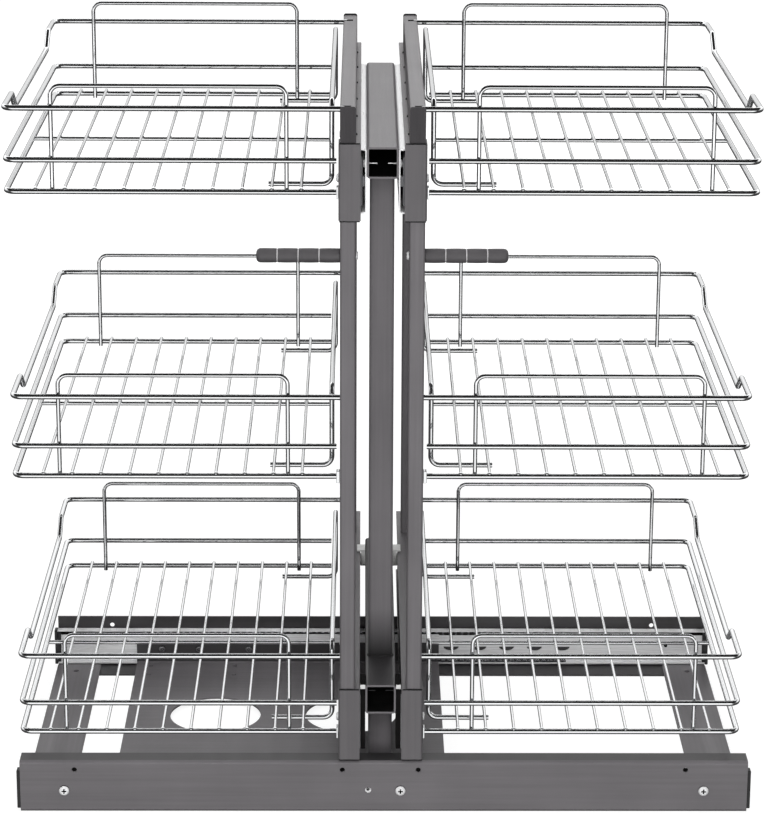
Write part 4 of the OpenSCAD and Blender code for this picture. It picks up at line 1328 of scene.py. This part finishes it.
# %% Grips
BEADS = 4
GROOVE = 0.6 * MM
GROOVE_HALF = 0.8 * MM
BARREL = 0.25 * MM
GRIP_EDGE = 0.5 * MM
FOOT_BEND = 0.6 * MM
BARREL_BEND = 4 * MM
GROOVE_BEND = 0.3 * MM
low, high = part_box("right_grip")
grip_radius = (high.z - low.z) / 2
grip_long = high.x - low.x
bead_long = grip_long / BEADS
outline = [Vector((0, 0, 0)), Vector((0, 0, grip_radius - GRIP_EDGE))]
bends = [FOOT_BEND]
for i in range(BEADS):
    begin, end = i * bead_long, (i + 1) * bead_long
    inner_begin = begin + (GROOVE_HALF if i else GRIP_EDGE)
    outline.append(Vector((inner_begin, 0, grip_radius - BARREL)))
    outline.append(Vector(((begin + end) / 2, 0, grip_radius)))
    bends += [GRIP_EDGE, BARREL_BEND]
    if i < BEADS - 1:
        outline.append(Vector((end - GROOVE_HALF, 0, grip_radius - BARREL)))
        outline.append(Vector((end, 0, grip_radius - GROOVE - BARREL)))
        bends += [GRIP_EDGE, GROOVE_BEND]
outline += [Vector((grip_long, 0, grip_radius - BARREL)), Vector((grip_long, 0, 0))]
bends += [BARREL_BEND]
grip = spun("grip", outline, "X", 56, bends)
grip_axis = Vector((0, (low.y + high.y) / 2, (low.z + high.z) / 2))
grip.data.transform(shift(low.x, grip_axis.y, grip_axis.z))
groove_floor = grip_radius - BARREL - 1.5 * GROOVE
groove_half_way = grip_radius - BARREL - 0.5 * GROOVE


def from_axis(point):
    return (point - grip_axis).yz.length


# The grooves get the light finish: a painted highlight.
for piece in both_sides(grip, "grip", "grip_moulded", GRIP):
    refinish(piece, GRIP_GROOVE_HIGHLIGHT, lambda c: any(from_axis(p) < groove_half_way for p in c) and all(
        from_axis(p) > groove_floor and 0.5 < (aside(p) - aside(low)) / bead_long < BEADS - 0.5 for p in c))

# %% [markdown]
# Column screws: one holds the grip from the inner side of the upright, and three on each housing hold the
# inner slide member. The arm screws hold the outer members to the mast, and their points show inside the
# arms.

# %% Column and arm screws
HOUSING_SCREW = HOUSING_WALL + SLIDE_WALL + 2.5 * MM
WING = 1.5 * MM
upright_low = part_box("right_front_upright")[0]
housing_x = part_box("right_top_housing")[1].x
places = [((upright_low.x, grip_axis.y, grip_axis.z), (1, 0, 0))]
for level in ("right_top_housing", "right_low_housing"):
    z = sum(v.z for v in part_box(level)) / 2
    places.append(((housing_x + WING, slide_y + SLIDE_SCREW_Y[0], z), (-1, 0, 0)))
    places += [((housing_x, slide_y + y, z), (-1, 0, 0)) for y in SLIDE_SCREW_Y[1:]]
mirror_places = [((2 * column_x - p[0], p[1], p[2]), (-d[0], 0, 0)) for p, d in places]
seats("right_column_screws", pan_screw(HOUSING_SCREW), places, ZINC_SCREW)
seats("left_column_screws", pan_screw(HOUSING_SCREW), mirror_places, ZINC_SCREW)
ARM_SCREW_DROP = 4 * MM
FOOT_SCREW_Y = (21.9 * MM, 409 * MM)
TIP = 8 * MM
# The screw points inside the bottom arm are black, as painted shade.
for node, ys, below, gap, finish in (
        ("mast_top_arm", SLIDE_SCREW_Y, ARM_SCREW_DROP, 0, ZINC_SCREW),
        ("mast_bottom_arm", FOOT_SCREW_Y, 0, LOW_GAP, BLACK)):
    low, high = arm_boxes[node]
    z = (low.z + high.z) / 2 - below
    model = pan_screw(gap + SLIDE_WALL + TUBE_WALL + TIP, point=TIP)
    arm_screws = []
    for y in ys:
        for x, way in ((high.x + gap + SLIDE_WALL, -1), (low.x - gap - SLIDE_WALL, 1)):
            arm_screws.append(placed(model, (x, slide_y + y, z), (way, 0, 0)))
    bpy.data.objects.remove(model)
    hand_over(joined(arm_screws, node + "_screws"), "arm_screws", finish, replaced=finish is ZINC_SCREW)

# %% [markdown]
# ## Baskets
# A basket is welded from three gauges of wire. Three frame wires run round the front, the outer side and
# the back: the bottom one, the middle one and the rim, which steps down along the outer side. A guard loop
# stands at the front and at the back, thin wires make the floor, and a saddle wire goes up and over beside
# the frame. One basket is modelled at the low tier and copied to the other tiers.

# %% Basket reference lines
LOOP_WIRE = 4.2 * MM
LOOP_UP = 99.2 * MM
KINK = 0.15 * MM
basket_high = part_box("right_low_basket")[1]
base_z = basket_high.z - LOOP_WIRE / 2 - LOOP_UP
out_x = basket_high.x - KINK - FRAME_WIRE / 2
frame_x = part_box("right_front_upright")[1].x
f, b = wire_front, wire_back
print(f"basket: {(out_x - frame_x) / MM:.0f} mm wide, {(b - f) / MM:.0f} mm deep")

# %% [markdown]
# The frame wires are bent cold round a former, so every corner has the same radius. The ends of the rim hook
# into the uprights, or into the slots of the top tube. Four slight kinks take it down along the outer side.

# %% Frame wires
CORNER = 9 * MM
STEP = 2 * MM
STEP_RUN = 25 * MM
MID_UP = 30 * MM
RIM_UP = 79 * MM
SIDE_UP = 62.5 * MM
FRONT_HOOK = 71 * MM
REAR_HOOK = 61.6 * MM
WIRE_END = 3.2 * MM
REAR_SHORT = 10 * MM
HOOK_IN = 4 * MM
wire_end = frame_x + WIRE_END
hook_x = frame_x - HOOK_IN
rim_z, side_z = base_z + RIM_UP, base_z + SIDE_UP


def rim_wire():
    corners = [
        (hook_x, f, rim_z), (out_x, f, rim_z),
        (out_x, f + FRONT_HOOK, rim_z), (out_x, f + FRONT_HOOK + STEP_RUN, side_z),
        (out_x, b - REAR_HOOK - STEP_RUN, side_z), (out_x, b - REAR_HOOK, rim_z),
        (out_x, b, rim_z), (hook_x, b, rim_z)]
    return wire("rim", corners, [CORNER, STEP, STEP, STEP, STEP, CORNER], FRAME_WIRE)


def level_wire(z):
    corners = [(wire_end, f, z), (out_x, f, z), (out_x, b, z), (wire_end + REAR_SHORT, b, z)]
    return wire("level", corners, CORNER, FRAME_WIRE)


wires = [rim_wire(), level_wire(base_z), level_wire(base_z + MID_UP)]
print("frame wires:", len(wires))

# %% [markdown]
# The guard loops stand inside the frame wires and are pressed into them by half a millimetre. The saddle
# goes up and over beside the column, and its two toes lie under the floor.

# %% Guard loops and saddle
SADDLE_WIRE = 5 * MM
SADDLE_OUT = 8 * MM
SADDLE_FOOT = 36 * MM
SADDLE_TOE = 60 * MM
LOOP_NEAR = 50 * MM
LOOP_IN = 43.2 * MM
LOOP_FEET = (3 * MM, 4 * MM)
SINK = 0.5 * MM
saddle_x = frame_x + SADDLE_OUT
loop_near, loop_far = frame_x + LOOP_NEAR, out_x - LOOP_IN
loop_off = (FRAME_WIRE + LOOP_WIRE) / 2 - SINK


def guard_loop(y, foot):
    top, end = base_z + LOOP_UP, base_z - foot
    corners = [(loop_near, y, end), (loop_near, y, top), (loop_far, y, top), (loop_far, y, end)]
    return wire("loop", corners, CORNER, LOOP_WIRE)


def saddle():
    toe = saddle_x + SADDLE_TOE
    y0, y1 = f + SADDLE_FOOT, b - SADDLE_FOOT
    corners = [(toe, y0, base_z), (saddle_x, y0, base_z), (saddle_x, y0, rim_z),
               (saddle_x, y1, rim_z), (saddle_x, y1, base_z), (toe, y1, base_z)]
    return wire("saddle", corners, CORNER, SADDLE_WIRE)


wires += [saddle(), guard_loop(f + loop_off, LOOP_FEET[0]), guard_loop(b - loop_off, LOOP_FEET[1])]
print("wires so far:", len(wires))

# %% [markdown]
# Ten thin wires make the floor. They lie on the bottom frame wire and on one cross wire in the middle, and
# their ends stand out a little, as cut wire does.

# %% Floor wires
FLOOR_WIRE = 3 * MM
FLOOR_WIRES = 10
FLOOR_PITCH = 27.6 * MM
FLOOR_FIRST = 27.7 * MM
FLOOR_OVER = 1.2 * MM
CROSS_IN = 4 * MM
floor_z = base_z + (FRAME_WIRE + FLOOR_WIRE) / 2 - SINK
middle_y = (f + b) / 2
cross = [(saddle_x + CROSS_IN, middle_y, base_z), (out_x, middle_y, base_z)]
wires.append(wire("cross", cross, 0, LOOP_WIRE))
floor_xs = [out_x - FLOOR_FIRST - i * FLOOR_PITCH for i in range(FLOOR_WIRES)]
for x in floor_xs:
    ends = [(x, f - FLOOR_OVER, floor_z), (x, b + FLOOR_OVER, floor_z)]
    wires.append(wire("floor", ends, 0, FLOOR_WIRE, 5))
print("wires in a basket:", len(wires))

# %% [markdown]
# Resistance welding presses the wires into each other and squeezes out a little metal. A small flattened
# ball at each crossing gives that. The front ends of the bottom wires carry a plate that bears on the
# frame. The top and low plates stop short of it, at the bracket.

# %% Weld nuggets and end plates
NUGGET = 1.9 * MM
FLOOR_SQUASH = (1.25, 1.25, 0.7)
LOOP_SQUASH = (1.3, 0.7, 1.3)
TAB_UP = 6 * MM
TAB_OVER = 0.3 * MM
TAB_GAP = {"low": 1.7 * MM, "mid": 0.2 * MM, "top": 1.7 * MM}


def nugget(place, squash):
    return added(
        bpy.ops.mesh.primitive_ico_sphere_add, "nugget", squash, subdivisions=2, radius=NUGGET,
        location=place)


touch_z = base_z + FRAME_WIRE / 2
weld_places = [((x, y, touch_z), FLOOR_SQUASH) for x in floor_xs for y in (f, middle_y, b)]
for y, way in ((f, 1), (b, -1)):
    touch_y = y + way * FRAME_WIRE / 2
    for x in (loop_near, loop_far):
        weld_places += [((x, touch_y, z), LOOP_SQUASH) for z in (base_z, base_z + MID_UP, rim_z)]
welds = [nugget(place, squash) for place, squash in weld_places]
basket = joined(wires + welds, "basket")
for tier, gap in TAB_GAP.items():
    node = tier + "_basket"
    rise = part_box("right_" + node)[1].z - basket_high.z
    line = base_z + rise
    tab_low = (frame_x + gap, f - TAB_HALF, line - TAB_UP)
    tab = block("tab", tab_low, (wire_end + TAB_OVER, f + TAB_HALF, line + TAB_UP))
    copy = copied(basket, "basket", shift(z=rise))
    both_sides(joined([copy, eased(tab, TAB_EDGE)], node), node, node + "_wires", CHROME)
bpy.data.objects.remove(basket)

# %% [markdown]
# ## Stage and light
# The floor is a wide pale sheet that reads as white to the camera and keeps a soft shadow. Far from the
# object it glows a little more, so that it stays white where the lamps no longer reach.

# %% Floor
FLOOR_SIZE = 14
FLOOR_DOWN = 0.2 * MM
FLOOR_TONE = (0.25, 0.25, 0.25, 1)
GLOW = (0.88, 1.0)
GLOW_REACH = (0.8, 2.6)
WHITE = (1, 1, 1, 1)
floor = added(bpy.ops.mesh.primitive_plane_add, "studio_floor", size=FLOOR_SIZE, location=(0, 0, -FLOOR_DOWN))
floor_finish, floor_tree, floor_shader = new_finish("studio_white", Roughness=0.9, Specular_IOR_Level=0.0)
floor_shader.inputs["Base Color"].default_value = FLOOR_TONE
floor_shader.inputs["Emission Color"].default_value = WHITE
floor_place = floor_tree.nodes.new("ShaderNodeTexCoord")
floor_reach = floor_tree.nodes.new("ShaderNodeVectorMath")
floor_reach.operation = "LENGTH"
floor_tree.links.new(floor_place.outputs["Object"], floor_reach.inputs[0])
glow = spread(floor_tree, floor_reach.outputs["Value"], *GLOW, *GLOW_REACH)
floor_light = floor_tree.nodes.new("ShaderNodeLightPath")
floor_glow = floor_tree.nodes.new("ShaderNodeMath")
floor_glow.operation = "MULTIPLY"
floor_tree.links.new(floor_light.outputs["Is Camera Ray"], floor_glow.inputs[0])
floor_tree.links.new(glow, floor_glow.inputs[1])
floor_tree.links.new(floor_glow.outputs[0], floor_shader.inputs["Emission Strength"])
floor.data.materials.append(floor_finish)
floor.visible_glossy = False
print("floor", FLOOR_SIZE, "m wide")

# %% [markdown]
# The world gives the mirrors their look, so the floor is left out of the reflections and the world shows a
# studio instead. In front of the object the floor is white and the room above it is dark. Behind it stands
# a white wall that grows brighter upwards, and the floor is dark. A wire that runs across the view then has
# a black upper half, a white line below its middle and a dark lower edge. A wire that runs away from the
# camera has a white core between dark edges. The border between front and back leans, and it is a little
# soft.

# %% World: the studio in the mirrors
AHEAD = [(-1, 1.1), (1, 0.02), (-0.09, 1.1), (0.0, 0.03)]
BEHIND = [
    (-1, 0.05), (1, 0.02), (-0.10, 0.06), (0.06, 0.75), (0.23, 0.86), (0.36, 1.2), (0.50, 1.2), (0.60, 0.02)]
BORDER_LEAN = (-0.70, 0, -0.1, 0.3)
BORDER_SOFT = 0.06
world = bpy.data.worlds.new("studio")
bpy.context.scene.world = world
world.use_nodes = True
sky = world.node_tree
sky.nodes.clear()
direction = sky.nodes.new("ShaderNodeTexCoord")
parts = sky.nodes.new("ShaderNodeSeparateXYZ")
sky.links.new(direction.outputs["Generated"], parts.inputs[0])
height = spread(sky, parts.outputs["Z"], 0, 1, -1, 1)


def levels(stops):
    """Grey levels by height. Each stop is a height, from -1 straight down to 1 straight up, and a level."""
    ramp = sky.nodes.new("ShaderNodeValToRGB")
    sky.links.new(height, ramp.inputs["Fac"])
    marks = ramp.color_ramp.elements
    for i, (z, level) in enumerate(stops):
        mark = marks[i] if i < 2 else marks.new((z + 1) / 2)
        mark.position = (z + 1) / 2
        mark.color = (level, level, level, 1)
    return ramp.outputs["Color"]


ahead, behind = levels(AHEAD), levels(BEHIND)
edge = sky.nodes.new("ShaderNodeMath")
edge.operation = "SUBTRACT"
sky.links.new(parts.outputs["Y"], edge.inputs[0])
sky.links.new(spread(sky, parts.outputs["Z"], *BORDER_LEAN), edge.inputs[1])
turned = spread(sky, edge.outputs[0], 1, 0, -BORDER_SOFT, BORDER_SOFT)
wall = sky.nodes.new("ShaderNodeMix")
wall.data_type = "RGBA"
sky.links.new(turned, wall.inputs["Factor"])
sky.links.new(behind, wall.inputs[6])
sky.links.new(ahead, wall.inputs[7])
print("studio levels:", len(AHEAD), "ahead and", len(BEHIND), "behind")

# %% [markdown]
# Only mirrors see that studio. The camera sees plain white, and all other light from the world is one weak
# grey, so that the lamps can shape the coat.

# %% World: what each ray sees
rays = sky.nodes.new("ShaderNodeLightPath")


def background(colour, strength):
    node = sky.nodes.new("ShaderNodeBackground")
    node.inputs["Strength"].default_value = strength
    if isinstance(colour, tuple):
        node.inputs["Color"].default_value = colour
    else:
        sky.links.new(colour, node.inputs["Color"])
    return node.outputs[0]


def choose(factor, first, second):
    node = sky.nodes.new("ShaderNodeMixShader")
    sky.links.new(factor, node.inputs[0])
    sky.links.new(first, node.inputs[1])
    sky.links.new(second, node.inputs[2])
    return node.outputs[0]


AMBIENT = 0.24
ambient = background(WHITE, AMBIENT)
mirror = background(wall.outputs[2], 1.0)
white = background(WHITE, 1.0)
glossy = choose(rays.outputs["Is Glossy Ray"], ambient, mirror)
seen = choose(rays.outputs["Is Camera Ray"], glossy, white)
output = sky.nodes.new("ShaderNodeOutputWorld")
sky.links.new(seen, output.inputs["Surface"])
print("world nodes:", len(sky.nodes))

# %% [markdown]
# Two white boards stand near the object, one low in front and one behind, and show only in the mirrors. The
# low baskets see more of them than the top ones, so their wires have a wider white line and a light upper
# edge.

# %% Boards
BOARD_HALF = 1.2


def board(name, y, low_z, high_z):
    piece = added(
        bpy.ops.mesh.primitive_plane_add, name, (2 * BOARD_HALF, high_z - low_z, 1), size=1,
        location=(0, y, (low_z + high_z) / 2), rotation=TURN["Y"])
    finish = new_finish(name + "_white", Emission_Strength=1.0, Emission_Color=WHITE)[0]
    piece.data.materials.append(finish)
    piece.visible_camera = piece.visible_diffuse = piece.visible_shadow = False
    print(name, "from", low_z, "to", high_z, "m")


board("front_board", -1.8, 0, 0.55)
board("back_board", 0.5, 0.95, 1.3)

# %% [markdown]
# Three lamps light the coat. A large one hangs overhead. One stands high in front, near the camera's own
# direction, so that the post between the columns is almost as light as the columns. A weaker one stands
# behind.

# %% Lamps
def lamp(name, place, target, width, depth, watts):
    data = bpy.data.lights.new(name, "AREA")
    data.shape = "RECTANGLE"
    data.size = width
    data.size_y = depth
    data.energy = watts
    light = bpy.data.objects.new(name, data)
    bpy.context.scene.collection.objects.link(light)
    light.location = place
    light.rotation_mode = "QUATERNION"
    light.rotation_quaternion = (Vector(target) - Vector(place)).to_track_quat("-Z", "Y")
    light.visible_glossy = False
    return light


lamp("overhead_lamp", (column_x, -0.2, 4.4), (column_x, 0, 0), 0.8, 2.5, 97)
lamp("front_lamp", (-0.1, -3.0, 1.2), (0, 0, 0.35), 1.2, 1.2, 57)
lamp("rear_lamp", (0.1, 3.0, 1.2), (0, 0, 0.35), 1.2, 1.2, 26)
bpy.context.scene.view_settings.view_transform = "Standard"
print("pieces made:", len(made))
